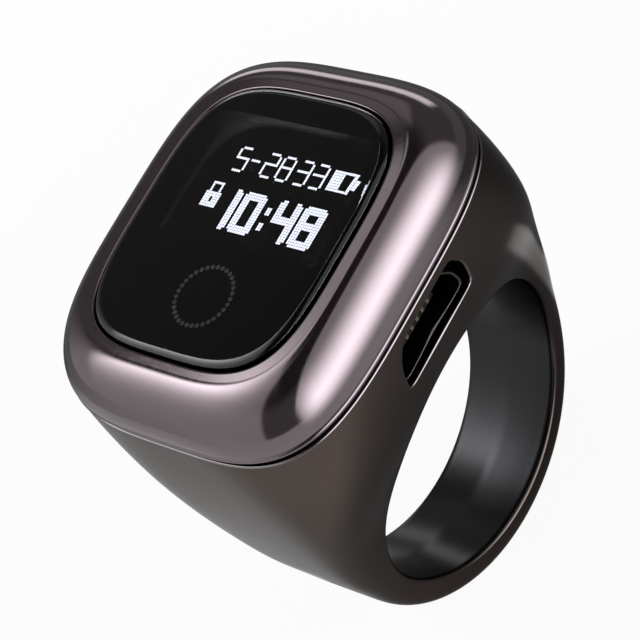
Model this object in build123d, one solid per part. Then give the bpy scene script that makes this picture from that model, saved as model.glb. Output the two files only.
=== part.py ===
"""Finger-ring tasbih counter: a polished ring with a lit display under a press lens.

Frame: the origin is the centre of the finger hole, +X runs along the finger
towards the charging socket, +Y is up on the display and +Z leaves the lens.
All sizes are in millimetres.
"""
from build123d import *
import math
import os

# Finger hole and band
BORE_R = 10.0
RIM_ROUND = 0.6
BAND_R = 12.4
BAND_POWER = 9.0
BAND_HALF = 3.85
HIP_HALF = 4.95
HIP_FADE = 3.0
BAND_STEP = 20

# Head outline: half sizes and corner power of its superellipse at the seam
HEAD_X = 11.6
HEAD_Y = 13.4
HEAD_POWER = 3.7
SEAM_Z = 19.1
SEAM_GAP = 0.18
HEAD_LEVELS = [SEAM_Z - SEAM_GAP / 2, 16.5, 13.5, 10.5, 7.5, 5.0, 2.5, 0.0]
SPLIT_Y = 8.0
POWER_AT = [(0.0, BAND_POWER), (10.0, 6.4), (SEAM_Z, HEAD_POWER)]

# Widths and lengths of the flared body at heights above the finger axis
WIDTH_AT = [(0.0, HIP_HALF), (6.0, 6.8), (10.0, 8.65), (14.5, 10.25), (SEAM_Z, HEAD_X)]
LENGTH_AT = [(0.0, BAND_R), (4.0, 13.15), (8.0, 13.65), (13.0, 13.65), (SEAM_Z, HEAD_Y)]

# Bezel: opening for the lens, flat lip, then a rolled shoulder down to the seam
OPEN_X = 8.44
OPEN_Y = 9.63
LIP_WIDTH = 0.7
LIP_Z = 23.1
LIP_UNDER_Z = 22.05
ROLL_POWER = 1.75
ROLL_ANGLES = (0, 15, 30, 45, 58, 70, 80, 90)
INSIDE_X = 9.3
INSIDE_Y = 11.1
TONGUE_X = 10.1
TONGUE_Y = 11.9
TONGUE_Z = 18.45
TONGUE_GAP = 0.1
GASKET_SETBACK = 0.4

# Lens, the key: glass, the plate under it and the post to the switch
LENS_GAP = 0.2
LENS_TOP_Z = 23.4
LENS_UNDER_Z = 22.0
LENS_BEVEL = 0.45
BEVEL_MID = (0.4, 0.7)
KEY_TRAVEL = 0.25
PRESS_ROOM = 0.1
PLATE_X = 8.95
PLATE_Y = 10.15
PLATE_Z = 21.65
POST_R = 0.8
POST_GAP = 0.05
SEAL_HEIGHT = 0.06
SEAL_WIDTH = 0.7
WINDOW_EDGE = 1.4
WINDOW_ROUND = 0.5
POST_TO_PLUNGER = 0.03

# Display
OLED_X = 14.5
OLED_Y = 11.6
OLED_SHEET = 0.6
OLED_BASE_Z = 19.55
OLED_TOP_EDGE_Y = 7.15
ACTIVE_X = 11.8
ACTIVE_Y = 5.9
ACTIVE_MID_Y = 3.05
LEDGE = 3.5
LEDGE_TOP = OLED_BASE_Z + OLED_SHEET
LEDGE_Y = OLED_TOP_EDGE_Y - OLED_Y + LEDGE
DRIVER = (9.0, 1.1, 0.3)
DRIVER_Y = LEDGE_Y - 1.0
FLEX_START_Y = LEDGE_Y - 2.0
FLEX_WIDTH = 6.0
FLEX_THICK = 0.12
FLEX_Y = -5.1
FLEX_BEND = 0.5
FLEX_SLOT = (6.6, 1.4, 4.0)
FLEX_SLOT_Y = -4.9
CONNECTOR = (7.0, 2.0, 1.0)
CONNECTOR_SLOT = (6.1, 0.16, 1.0)
CONNECTOR_DEPTH = 0.55

# Chassis and screws
FRAME_Z = (18.9, PLATE_Z - KEY_TRAVEL - PRESS_ROOM)
FRAME_HOLLOW = (7.4, 8.0, 1.5)
FRAME_FLOOR = 0.35
FRAME_GAP = 0.1
SCREW_AT = (5.6, 9.4)
SCREW_R = 0.5
SCREW_HEAD_R = 0.9
SCREW_HEAD = 0.5
SCREW_SEAT_Z = 20.3
SCREW_TIP_Z = 10.9
SCREW_HOLE_Z = 10.7
SCREW_SHANK_R = 0.48
DRIVE_SLOT = (1.2, 0.25, 0.25)
DRIVE_DEPTH = 0.2
LEG_R = 1.0
FIT = 0.05

# Hollow of the ring body
FLOOR_Z = 11.3
PCB_Z = 13.0
PCB_THICK = 0.8
POCKET = (8.6, 11.6, 3.0)
BATTERY_POCKET = (7.0, 8.0, 2.0)
TAB_ROOM = (7.8, 2.6, 1.1)
PCB_GAP = 0.1
PCB_TOP = PCB_Z + PCB_THICK

# Charging socket, micro-B
USB_Y = 0.4
USB_WIDE = 7.5
USB_HIGH = 2.45
USB_WALL = 0.3
USB_MOUTH_X = 9.6
USB_LONG = 5.0
USB_CUT = (0.9, 1.1)
USB_ROUND = 0.35
USB_INNER_ROUND = 0.2
USB_Z = PCB_TOP + USB_HIGH / 2
USB_BACK_X = USB_MOUTH_X - USB_LONG
SLOT_HALF = 4.05
SLOT_TOP_HALF = 2.9
SLOT_Z = (13.5, 16.2, 17.95)
SLOT_ROUND = 0.6
CONTACT_PITCH = 0.65
CONTACTS = 5
CONTACT = (0.3, 0.1)
CONTACT_SETBACK = 0.9
INSULATOR_DEEP = 0.9
INSULATOR_GAP = 0.02
USB_TONGUE = (3.8, 0.5)
USB_TONGUE_TOP = USB_Z + 0.35
USB_TONGUE_SETBACK = 0.7

# Battery and its tape
PAD_THICK = 0.1
PAD_INSET = 1.0
BATTERY = (13.6, 15.6, 1.5)
TAB_X = 2.7
TAB_WIDE = 1.2
TAB_THICK = 0.15
TAB_RISE_Y = -8.6
TAB_LOW_Z = 12.3
TAB_FOLD = 1.0
TAB_SLOT = (1.5, 0.5, 3.0)

# Count switch
SWITCH_Y = -7.8
SWITCH = (3.6, 2.9, 1.1)
PLUNGER_R = 0.7
PLUNGER_TOP_Z = 15.9
PLUNGER_FLANGE_R = 0.95
PLUNGER_FLANGE = (0.35, 0.05)
SWITCH_TOP = PCB_TOP + SWITCH[2]
SWITCH_FLOOR = PCB_TOP + 0.25
TRAY_R = 1.2
COVER_THICK = 0.15
DOME = (1.1, 0.4, 0.18)
DOME_HOLLOW = (1.0, 0.3, 0.1)

# Vibration motor
MOTOR_AT = (-2.9, 5.2)
MOTOR_R = 3.5
MOTOR_HIGH = 2.2
MOTOR_WALL = 0.15
MOTOR_SHAFT_R = 0.3
MOTOR_RUN = 0.03
MOTOR_Z = PCB_TOP + PAD_THICK
MOTOR_BASE = 0.2
MAGNET = (1.2, 2.6, 0.4)
ROTOR_LOW = MOTOR_Z + 0.8
ROTOR_HIGH = ROTOR_LOW + 0.8
ROTOR_R = 2.4
WEIGHT_R = 3.1
HUB_R = 0.75
HUB_TOP = ROTOR_LOW + 1.0

# Chips on the board: size, then place
CHIPS = {
    "soc_chip": ((4.0, 4.0, 0.85), (-3.6, -0.9)),
    "crystal": ((2.0, 1.6, 0.5), (1.2, -1.8)),
    "charger_chip": ((2.0, 2.0, 0.75), (2.2, 1.4)),
    "antenna": ((3.2, 1.6, 0.8), (1.8, 10.3)),
}
CHIP_EDGE = 0.12
PASSIVE = (1.0, 0.5, 0.5)
PASSIVE_PITCH = 1.2
PASSIVE_ROWS = [(-7.0, -3.4, 4), (2.2, 3.6, 3), (-5.4, -6.0, 2), (5.2, -6.4, 2)]

# How far a cutting shape runs past the face that it opens
PAST = 1.0

os.makedirs("parts", exist_ok=True)


def save(shape, name):
    """Write one sub-part under its node name."""
    shape.label = name
    export_step(shape, f"parts/{name}.step")


def between(table, z, level_start=False):
    """Smooth value at height z through a table of (height, value), by monotone cubic pieces."""
    heights = [row[0] for row in table]
    values = [row[1] for row in table]
    last = len(table) - 1
    rises = [(values[i + 1] - values[i]) / (heights[i + 1] - heights[i]) for i in range(last)]
    slopes = [0.0 if level_start else rises[0]]
    for i in range(1, last):
        product = rises[i - 1] * rises[i]
        slopes.append(2 * product / (rises[i - 1] + rises[i]) if product > 0 else 0.0)
    slopes.append(rises[-1])
    i = min(max(sum(z >= h for h in heights) - 1, 0), last - 1)
    step = heights[i + 1] - heights[i]
    t = (z - heights[i]) / step
    return (
        values[i] * (1 + 2 * t) * (1 - t) ** 2
        + values[i + 1] * t * t * (3 - 2 * t)
        + step * (slopes[i] * t * (1 - t) ** 2 - slopes[i + 1] * t * t * (1 - t))
    )


def half_width(z):
    """Half width of the ring along X at height z: flared above the axis, even below it."""
    if z >= 0:
        return between(WIDTH_AT, z)
    return BAND_HALF + (HIP_HALF - BAND_HALF) * math.exp(z / HIP_FADE)


def half_length(z):
    """Half length of the head along Y at height z, running on from the band's circle."""
    return between(LENGTH_AT, z, level_start=True)


def corner_power(z):
    """Corner power of the outline: boxy at the band, softer towards the seam."""
    return between(POWER_AT, z)


def power_point(angle, a, b, power):
    """Point of a superellipse with half sizes a and b at a parameter angle."""
    c = math.cos(angle)
    s = math.sin(angle)
    x = math.copysign(abs(c) ** (2 / power), c) * a
    y = math.copysign(abs(s) ** (2 / power), s) * b
    return x, y


def outline(a, b, z, power=HEAD_POWER, count=48):
    """Flat superellipse face at height z."""
    angles = [2 * math.pi * (i + 0.5) / count for i in range(count)]
    points = [(*power_point(t, a, b, power), z) for t in angles]
    return make_face(Spline(*points, periodic=True))


def slab(a, b, z0, z1, power=HEAD_POWER):
    """Straight superellipse prism from z0 to z1."""
    return extrude(outline(a, b, z0, power), z1 - z0, dir=(0, 0, 1))


def block(size, centre, z0):
    """Plain block of size (x, y, height) standing on z0."""
    return Pos(centre[0], centre[1], z0 + size[2] / 2) * Box(*size)


def rounded(half_x, half_y, radius, z0, z1, centre=(0, 0)):
    """Rounded rectangular prism from z0 to z1."""
    face = Pos(centre[0], centre[1], z0) * RectangleRounded(2 * half_x, 2 * half_y, radius)
    return extrude(face, z1 - z0, dir=(0, 0, 1))


def disc(radius, z0, z1, centre=(0, 0)):
    """Upright cylinder from z0 to z1."""
    return Pos(centre[0], centre[1], (z0 + z1) / 2) * Cylinder(radius, z1 - z0)


def screw_places():
    """The four chassis screw axes."""
    return [(sx * SCREW_AT[0], sy * SCREW_AT[1]) for sx in (-1, 1) for sy in (-1, 1)]


def cut_corner_face(wide, top, low, shoulder, high, radius):
    """Face in the YZ plane: half width wide below the shoulder, half width top above it."""
    points = [(-wide, low), (wide, low), (wide, shoulder)]
    points += [(top, high), (-top, high), (-wide, shoulder)]
    face = make_face(Polyline(*points, close=True))
    return fillet(face.vertices(), radius)


def usb_outline(radius, grow):
    """Micro-B outline about its centre, narrow side up, grown by an offset."""
    wide = USB_WIDE / 2 + grow
    high = USB_HIGH / 2 + grow
    return cut_corner_face(wide, wide - USB_CUT[0], -high, high - USB_CUT[1], high, radius)


def along_x(face, y, z, x0, x1):
    """Carry a face drawn in YZ along X from x0 to x1."""
    plane = Plane(origin=(x0, y, z), x_dir=(0, 1, 0), z_dir=(1, 0, 0))
    return extrude(plane * face, x1 - x0)


def end_cap(a, b, power, count=24):
    """Outline points of one end, from its +X side to its -X side, beyond the split width."""
    start = math.asin((SPLIT_Y / b) ** (power / 2))
    step = (math.pi - 2 * start) / count
    return [power_point(start + step * i, a, b, power) for i in range(count + 1)]


def split_slope(a, b, power):
    """Unit direction of the outline where the +X side meets the +Y end."""
    y = SPLIT_Y / b
    x = (1 - y ** power) ** (1 / power)
    along_x_axis = -y ** (power - 1) / b
    along_y_axis = x ** (power - 1) / a
    size = math.hypot(along_x_axis, along_y_axis)
    return along_x_axis / size, along_y_axis / size


def head_section(z):
    """Level section of the head: two end caps and two sides, smooth where they join."""
    a = half_width(z)
    b = half_length(z)
    power = corner_power(z)
    cap = end_cap(a, b, power)
    dx, dy = split_slope(a, b, power)
    far = [(x, y, z) for x, y in cap]
    near = [(x, -y, z) for x, y in cap]
    edges = [
        Spline(*far, tangents=[(dx, dy, 0), (dx, -dy, 0)]),
        Spline(far[-1], (-a, 0, z), near[-1], tangents=[(dx, -dy, 0), (-dx, -dy, 0)]),
        Spline(*near, tangents=[(dx, -dy, 0), (dx, dy, 0)]),
        Spline(near[0], (a, 0, z), far[0], tangents=[(-dx, dy, 0), (dx, dy, 0)]),
    ]
    return make_face(edges)


def band_section(degrees):
    """Section of the band in the half plane at an angle round the finger axis."""
    turn = math.radians(degrees)

    def place(x, r):
        return (x, r * math.cos(turn), r * math.sin(turn))

    wide = half_width(BAND_R * math.sin(turn))
    dx, dy = split_slope(wide, BAND_R, BAND_POWER)
    points = [place(x, r) for x, r in end_cap(wide, BAND_R, BAND_POWER)]
    curve = Spline(*points, tangents=[place(dx, dy), place(dx, -dy)])
    return make_face([curve, Line(points[-1], points[0])])


def on_bore(point):
    """Whether a point lies on the wall of the finger hole."""
    return abs(math.hypot(point.Y, point.Z) - BORE_R) < 0.01


def is_rim(edge):
    """Whether an edge runs round one mouth of the finger hole."""
    same_side = (edge @ 0.1).X * (edge @ 0.9).X > 0 and abs((edge @ 0.5).X) > BAND_HALF / 2
    return same_side and on_bore(edge @ 0.1) and on_bore(edge @ 0.5)


def ring_body():
    """Flared head and band with the rounded finger hole, the hollow and the port slot."""
    bore = Rot(0, 90, 0) * Cylinder(BORE_R, 4 * HEAD_X)
    head = loft([head_section(z) for z in HEAD_LEVELS]) - bore
    band = loft([band_section(degrees) for degrees in range(180, 361, BAND_STEP)]) - bore
    body = head + band
    body = fillet([edge for edge in body.edges() if is_rim(edge)], RIM_ROUND)
    top = SEAM_Z + PAST
    body -= rounded(*BATTERY_POCKET, FLOOR_Z, PCB_Z)
    body -= rounded(*POCKET, PCB_Z, top)
    body -= slab(TONGUE_X + TONGUE_GAP, TONGUE_Y + TONGUE_GAP, TONGUE_Z - FIT, top)
    body -= block(TAB_ROOM, (0, -BATTERY_POCKET[1]), PCB_Z + FIT - TAB_ROOM[2])
    for place in screw_places():
        body -= disc(SCREW_R, SCREW_HOLE_Z, PCB_Z + FIT, place)
    slot = cut_corner_face(SLOT_HALF, SLOT_TOP_HALF, *SLOT_Z, SLOT_ROUND)
    body -= along_x(slot, USB_Y, 0, USB_MOUTH_X + FIT, HEAD_X + PAST)
    body -= along_x(usb_outline(USB_ROUND, FIT), USB_Y, USB_Z, POCKET[0] - PAST, HEAD_X)
    return body


def bezel_cover():
    """Rolled upper half of the head with its lip, lens opening and locating tongue."""
    base = SEAM_Z + SEAM_GAP / 2
    lip_x = OPEN_X + LIP_WIDTH
    lip_y = OPEN_Y + LIP_WIDTH
    sections = []
    for degrees in ROLL_ANGLES:
        t = math.radians(degrees)
        out = max(math.cos(t), 0.0) ** (2 / ROLL_POWER)
        rise = math.sin(t) ** (2 / ROLL_POWER)
        a = lip_x + (HEAD_X - lip_x) * out
        b = lip_y + (HEAD_Y - lip_y) * out
        sections.append(outline(a, b, base + (LIP_Z - base) * rise, HEAD_POWER, 64))
    cover = loft(sections)
    cover += slab(TONGUE_X, TONGUE_Y, TONGUE_Z, base + FIT)
    cover -= slab(INSIDE_X, INSIDE_Y, TONGUE_Z - PAST, LIP_UNDER_Z)
    return cover - slab(OPEN_X, OPEN_Y, LIP_UNDER_Z - PAST, LIP_Z + PAST)


def lens():
    """Black glass with a bevelled top edge, clear of the bezel opening all round."""
    a = OPEN_X - LENS_GAP
    b = OPEN_Y - LENS_GAP
    flat = LENS_TOP_Z - LENS_BEVEL
    in_by = BEVEL_MID[0] * LENS_BEVEL
    glass = slab(a, b, LENS_UNDER_Z, flat)
    bevel = loft([
        outline(a, b, flat),
        outline(a - in_by, b - in_by, flat + BEVEL_MID[1] * LENS_BEVEL),
        outline(a - LENS_BEVEL, b - LENS_BEVEL, LENS_TOP_Z),
    ])
    return glass + bevel


def key_carrier():
    """Plate bonded under the lens with a window for the display and the switch post."""
    plate = slab(PLATE_X, PLATE_Y, PLATE_Z, LENS_UNDER_Z)
    half_x = ACTIVE_X / 2 + WINDOW_EDGE
    half_y = ACTIVE_Y / 2 + WINDOW_EDGE
    low = PLATE_Z - PAST
    high = LENS_UNDER_Z + PAST
    plate -= rounded(half_x, half_y, WINDOW_ROUND, low, high, (0, ACTIVE_MID_Y))
    return plate + disc(POST_R, PLUNGER_TOP_Z + POST_TO_PLUNGER, PLATE_Z, (0, SWITCH_Y))


def lens_seal():
    """Thin foam ring on the chassis, at the height the plate presses it to."""
    top = FRAME_Z[1]
    ring = slab(PLATE_X, PLATE_Y, top, top + SEAL_HEIGHT)
    return ring - slab(PLATE_X - SEAL_WIDTH, PLATE_Y - SEAL_WIDTH, top - PAST, top + PAST)


def seam_gasket():
    """Dark ring in the seam, set back from the outside."""
    low = SEAM_Z - SEAM_GAP / 2
    high = SEAM_Z + SEAM_GAP / 2
    ring = slab(HEAD_X - GASKET_SETBACK, HEAD_Y - GASKET_SETBACK, low, high)
    return ring - slab(TONGUE_X + TONGUE_GAP, TONGUE_Y + TONGUE_GAP, low - PAST, high + PAST)


def display_frame():
    """Chassis plate with the display pocket, ribbon slot, post guide and four screw legs."""
    low, high = FRAME_Z
    frame = slab(INSIDE_X - FRAME_GAP, INSIDE_Y - FRAME_GAP, low, high)
    frame -= rounded(*FRAME_HOLLOW, low - PAST, OLED_BASE_Z - FRAME_FLOOR)
    for place in screw_places():
        frame += disc(LEG_R, PCB_TOP, SCREW_SEAT_Z, place)
    oled_mid = OLED_TOP_EDGE_Y - OLED_Y / 2
    frame -= block((OLED_X + 2 * FIT, OLED_Y + 2 * FIT, high), (0, oled_mid), OLED_BASE_Z)
    frame -= block(FLEX_SLOT, (0, FLEX_SLOT_Y), low - PAST)
    frame -= disc(POST_R + POST_GAP, low - PAST, high + PAST, (0, SWITCH_Y))
    for place in screw_places():
        frame -= disc(SCREW_R + FIT, PCB_Z, high + PAST, place)
        frame -= disc(SCREW_HEAD_R + FIT, SCREW_SEAT_Z, high + PAST, place)
    return frame


def frame_screws():
    """Four long screws that clamp chassis and board to the ring body."""
    screws = []
    for place in screw_places():
        head_top = SCREW_SEAT_Z + SCREW_HEAD
        screw = disc(SCREW_HEAD_R, SCREW_SEAT_Z, head_top, place)
        screw += disc(SCREW_SHANK_R, SCREW_TIP_Z, SCREW_SEAT_Z + FIT, place)
        screw -= block(DRIVE_SLOT, place, head_top - DRIVE_DEPTH)
        screw -= block((DRIVE_SLOT[1], DRIVE_SLOT[0], DRIVE_SLOT[2]), place, head_top - DRIVE_DEPTH)
        screws.append(screw)
    return Compound(children=screws)


def oled_glass():
    """Display: a back sheet with a ledge and a shorter front sheet over the dots."""
    mid = OLED_TOP_EDGE_Y - OLED_Y / 2
    back = block((OLED_X, OLED_Y, OLED_SHEET), (0, mid), OLED_BASE_Z)
    front_y = OLED_Y - LEDGE
    front_mid = OLED_TOP_EDGE_Y - front_y / 2
    return back + block((OLED_X, front_y, OLED_SHEET), (0, front_mid), OLED_BASE_Z + OLED_SHEET)


def oled_driver():
    """Bare driver chip on the display's ledge."""
    return block(DRIVER, (0, DRIVER_Y), LEDGE_TOP)


def oled_flex():
    """Ribbon from the ledge, bent down through the chassis into its connector."""
    bend_y = FLEX_Y + FLEX_THICK / 2 + FLEX_BEND
    bend_z = LEDGE_TOP - FLEX_BEND
    flat_mid = (0, (FLEX_START_Y + bend_y) / 2)
    flat = block((FLEX_WIDTH, FLEX_START_Y - bend_y, FLEX_THICK), flat_mid, LEDGE_TOP)
    tip = PCB_TOP + CONNECTOR[2] - CONNECTOR_DEPTH + FIT
    drop = block((FLEX_WIDTH, FLEX_THICK, bend_z - tip), (0, FLEX_Y), tip)
    turn = Cylinder(FLEX_BEND + FLEX_THICK, FLEX_WIDTH) - Cylinder(FLEX_BEND, FLEX_WIDTH)
    bend = Pos(0, bend_y, bend_z) * (Rot(0, 90, 0) * turn)
    reach = FLEX_BEND + PAST
    corner = Pos(0, bend_y - reach / 2, bend_z + reach / 2) * Box(FLEX_WIDTH, reach, reach)
    return flat + (bend & corner) + drop


def fpc_connector():
    """Connector block with the slot that takes the ribbon's end."""
    body = block(CONNECTOR, (0, FLEX_Y), PCB_TOP)
    return body - block(CONNECTOR_SLOT, (0, FLEX_Y), PCB_TOP + CONNECTOR[2] - CONNECTOR_DEPTH)


def main_pcb():
    """Circuit board with screw holes and two slots for the battery tabs."""
    half_x, half_y, radius = POCKET
    board = rounded(half_x - PCB_GAP, half_y - PCB_GAP, radius - PCB_GAP, PCB_Z, PCB_TOP)
    for place in screw_places():
        board -= disc(SCREW_R + FIT, PCB_Z - PAST, PCB_TOP + PAST, place)
    for side in (-1, 1):
        board -= block(TAB_SLOT, (side * TAB_X, TAB_RISE_Y), PCB_Z - PAST)
    return board


def chip(name):
    """Chip body on the board, with a chamfered top."""
    size, centre = CHIPS[name]
    body = block(size, centre, PCB_TOP)
    return chamfer(body.faces().sort_by(Axis.Z)[-1].edges(), min(size) * CHIP_EDGE)


def passives():
    """Capacitors and resistors as separate small blocks on the board."""
    blocks = []
    for x, y, count in PASSIVE_ROWS:
        blocks += [block(PASSIVE, (x, y + PASSIVE_PITCH * i), PCB_TOP) for i in range(count)]
    return Compound(children=blocks)


def switch_base():
    """Switch housing: an open tray."""
    tray = block(SWITCH, (0, SWITCH_Y), PCB_TOP)
    return tray - disc(TRAY_R, SWITCH_FLOOR, SWITCH_TOP + PAST, (0, SWITCH_Y))


def switch_dome():
    """Snap dome on the tray floor, at its pressed height."""
    on_floor = (Align.CENTER, Align.CENTER, Align.MIN)
    cap = Cone(*DOME, align=on_floor) - Cone(*DOME_HOLLOW, align=on_floor)
    return Pos(0, SWITCH_Y, SWITCH_FLOOR) * cap


def switch_plunger():
    """Plunger with a flange that the cover holds in."""
    below, above = PLUNGER_FLANGE
    flange = disc(PLUNGER_FLANGE_R, SWITCH_TOP - below, SWITCH_TOP - above, (0, SWITCH_Y))
    return flange + disc(PLUNGER_R, SWITCH_TOP - below, PLUNGER_TOP_Z, (0, SWITCH_Y))


def switch_cover():
    """Thin plate over the tray with the plunger hole."""
    plate = block((SWITCH[0], SWITCH[1], COVER_THICK), (0, SWITCH_Y), SWITCH_TOP)
    return plate - disc(PLUNGER_R + POST_GAP, SWITCH_TOP - PAST, SWITCH_TOP + PAST, (0, SWITCH_Y))


def usb_shell():
    """Folded micro-B shell, open at the mouth and closed at the back."""
    shell = along_x(usb_outline(USB_ROUND, 0), USB_Y, USB_Z, USB_BACK_X, USB_MOUTH_X)
    inside = usb_outline(USB_INNER_ROUND, -USB_WALL)
    return shell - along_x(inside, USB_Y, USB_Z, USB_BACK_X + USB_WALL, USB_MOUTH_X + PAST)


def usb_tongue():
    """Insulator: a block at the back of the shell with a flat tongue in front."""
    back = USB_BACK_X + USB_WALL
    front = USB_MOUTH_X - USB_TONGUE_SETBACK
    wide, thick = USB_TONGUE
    rear_face = usb_outline(USB_INNER_ROUND, -USB_WALL - INSULATOR_GAP)
    rear = along_x(rear_face, USB_Y, USB_Z, back, back + INSULATOR_DEEP)
    blade = block((front - back, wide, thick), ((front + back) / 2, USB_Y), USB_TONGUE_TOP - thick)
    return rear + blade


def usb_contacts():
    """Five flat contacts along the top of the tongue."""
    start = USB_BACK_X + USB_WALL + INSULATOR_DEEP
    end = USB_MOUTH_X - CONTACT_SETBACK
    wide, thick = CONTACT
    strips = []
    for i in range(CONTACTS):
        y = USB_Y + (i - (CONTACTS - 1) / 2) * CONTACT_PITCH
        strips.append(block((end - start, wide, thick), ((start + end) / 2, y), USB_TONGUE_TOP))
    return Compound(children=strips)


def battery():
    """Pouch cell with softened edges."""
    cell = block(BATTERY, (0, 0), FLOOR_Z + PAD_THICK)
    return fillet(cell.edges().filter_by(Axis.Z), BATTERY_POCKET[2])


def battery_pad():
    """Foam tape under the cell."""
    return block((BATTERY[0] - 2 * PAD_INSET, BATTERY[1] - 2 * PAD_INSET, PAD_THICK), (0, 0), FLOOR_Z)


def battery_tabs():
    """Two bent tabs from the cell's end, up through the board and folded over it."""
    end = -BATTERY[1] / 2
    tabs = []
    for side in (-1, 1):
        x = side * TAB_X
        foot_mid = (x, (end + TAB_RISE_Y) / 2)
        foot = block((TAB_WIDE, end - TAB_RISE_Y, TAB_THICK), foot_mid, TAB_LOW_Z)
        height = PCB_TOP + TAB_THICK - TAB_LOW_Z
        rise = block((TAB_WIDE, TAB_THICK, height), (x, TAB_RISE_Y), TAB_LOW_Z)
        fold = block((TAB_WIDE, TAB_FOLD, TAB_THICK), (x, TAB_RISE_Y - TAB_FOLD / 2), PCB_TOP)
        tabs.append(foot + rise + fold)
    return Compound(children=tabs)


def motor_disc(radius, z0, z1):
    """Disc on the motor's axis."""
    return disc(radius, z0, z1, MOTOR_AT)


def motor_pad():
    """Adhesive disc under the motor."""
    return motor_disc(MOTOR_R - PAD_THICK, PCB_TOP, MOTOR_Z)


def motor_base():
    """Base plate with the hole that holds the shaft."""
    plate = motor_disc(MOTOR_R, MOTOR_Z, MOTOR_Z + MOTOR_BASE)
    return plate - motor_disc(MOTOR_SHAFT_R, MOTOR_Z - PAST, MOTOR_Z + PAST)


def motor_magnet():
    """Ring magnet on the base plate."""
    inner, outer, thick = MAGNET
    low = MOTOR_Z + MOTOR_BASE
    return motor_disc(outer, low, low + thick) - motor_disc(inner, low - PAST, low + PAST)


def motor_shaft():
    """Fixed pin from the base plate to the can."""
    return motor_disc(MOTOR_SHAFT_R, MOTOR_Z, MOTOR_Z + MOTOR_HIGH - MOTOR_WALL)


def motor_sector(radius):
    """Half disc at the rotor's height, on the -X side of the motor's axis."""
    high = ROTOR_HIGH - ROTOR_LOW
    half = block((radius, 2 * radius, high), (MOTOR_AT[0] - radius / 2, MOTOR_AT[1]), ROTOR_LOW)
    return motor_disc(radius, ROTOR_LOW, ROTOR_HIGH) & half


def motor_rotor():
    """Moulded half disc with a hub that runs on the pin."""
    body = motor_sector(ROTOR_R) + motor_disc(HUB_R, ROTOR_LOW, HUB_TOP)
    return body - motor_disc(MOTOR_SHAFT_R + MOTOR_RUN, ROTOR_LOW - PAST, HUB_TOP + PAST)


def motor_weight():
    """Heavy rim that makes the rotor run out of balance."""
    return motor_sector(WEIGHT_R) - motor_disc(ROTOR_R, ROTOR_LOW - PAST, ROTOR_HIGH + PAST)


def motor_can():
    """Cup over the motor."""
    low = MOTOR_Z + MOTOR_BASE
    high = MOTOR_Z + MOTOR_HIGH
    return motor_disc(MOTOR_R, low, high) - motor_disc(
        MOTOR_R - MOTOR_WALL, low - PAST, high - MOTOR_WALL
    )


PIECES = {
    "ring_body": ring_body,
    "bezel_cover": bezel_cover,
    "seam_gasket": seam_gasket,
    "lens": lens,
    "key_carrier": key_carrier,
    "lens_seal": lens_seal,
    "display_frame": display_frame,
    "frame_screws": frame_screws,
    "oled_glass": oled_glass,
    "oled_driver": oled_driver,
    "oled_flex": oled_flex,
    "fpc_connector": fpc_connector,
    "main_pcb": main_pcb,
    "passives": passives,
    "switch_base": switch_base,
    "switch_dome": switch_dome,
    "switch_plunger": switch_plunger,
    "switch_cover": switch_cover,
    "usb_shell": usb_shell,
    "usb_tongue": usb_tongue,
    "usb_contacts": usb_contacts,
    "battery": battery,
    "battery_pad": battery_pad,
    "battery_tabs": battery_tabs,
    "motor_pad": motor_pad,
    "motor_base": motor_base,
    "motor_magnet": motor_magnet,
    "motor_shaft": motor_shaft,
    "motor_rotor": motor_rotor,
    "motor_weight": motor_weight,
    "motor_can": motor_can,
}

for node, make in PIECES.items():
    save(make(), node)
for node in CHIPS:
    save(chip(node), node)
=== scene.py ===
"""Looks of the finger-ring tasbih counter, laid out as an add-on and run as a script.

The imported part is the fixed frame. The polished shells, the glass and the lit dots are
grid surfaces worked out from the frame's own sizes, and every node gets its finish.
Lengths are in metres, with MM for sizes that read better in millimetres.
"""
import math

import bmesh
import bpy
import numpy as np
from bpy.props import FloatProperty, FloatVectorProperty, PointerProperty, StringProperty
from mathutils import Matrix, Vector


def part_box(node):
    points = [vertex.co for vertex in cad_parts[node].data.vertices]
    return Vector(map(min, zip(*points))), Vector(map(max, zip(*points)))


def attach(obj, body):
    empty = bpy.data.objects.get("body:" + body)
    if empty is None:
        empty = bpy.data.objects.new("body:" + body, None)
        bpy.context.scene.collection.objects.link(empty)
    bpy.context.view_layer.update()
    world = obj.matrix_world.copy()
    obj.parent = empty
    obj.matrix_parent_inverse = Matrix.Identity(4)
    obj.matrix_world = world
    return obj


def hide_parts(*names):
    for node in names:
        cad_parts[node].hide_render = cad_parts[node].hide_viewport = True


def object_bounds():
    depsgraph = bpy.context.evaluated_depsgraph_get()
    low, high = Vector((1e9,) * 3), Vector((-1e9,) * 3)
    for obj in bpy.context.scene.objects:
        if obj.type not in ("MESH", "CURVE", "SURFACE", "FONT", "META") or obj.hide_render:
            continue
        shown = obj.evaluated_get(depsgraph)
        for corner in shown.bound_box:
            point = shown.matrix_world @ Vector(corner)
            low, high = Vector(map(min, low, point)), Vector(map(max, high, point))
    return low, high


bl_info = {
    "name": "Tasbih Ring Counter",
    "version": (1, 0, 0),
    "blender": (4, 5, 0),
    "location": "View3D > Sidebar > Tasbih Ring",
    "description": "Builds the looks of a finger-ring tasbih counter around its packed parts",
    "category": "Object",
}

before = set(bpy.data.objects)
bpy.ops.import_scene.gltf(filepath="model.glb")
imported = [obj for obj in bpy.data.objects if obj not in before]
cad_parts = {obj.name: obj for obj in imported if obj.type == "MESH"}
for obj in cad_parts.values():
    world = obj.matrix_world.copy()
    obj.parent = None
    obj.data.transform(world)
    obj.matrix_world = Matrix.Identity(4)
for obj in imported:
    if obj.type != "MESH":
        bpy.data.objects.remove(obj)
CAD_BOX = [list(corner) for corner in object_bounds()]

MM = 0.001
MERGE = 0.002 * MM

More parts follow.
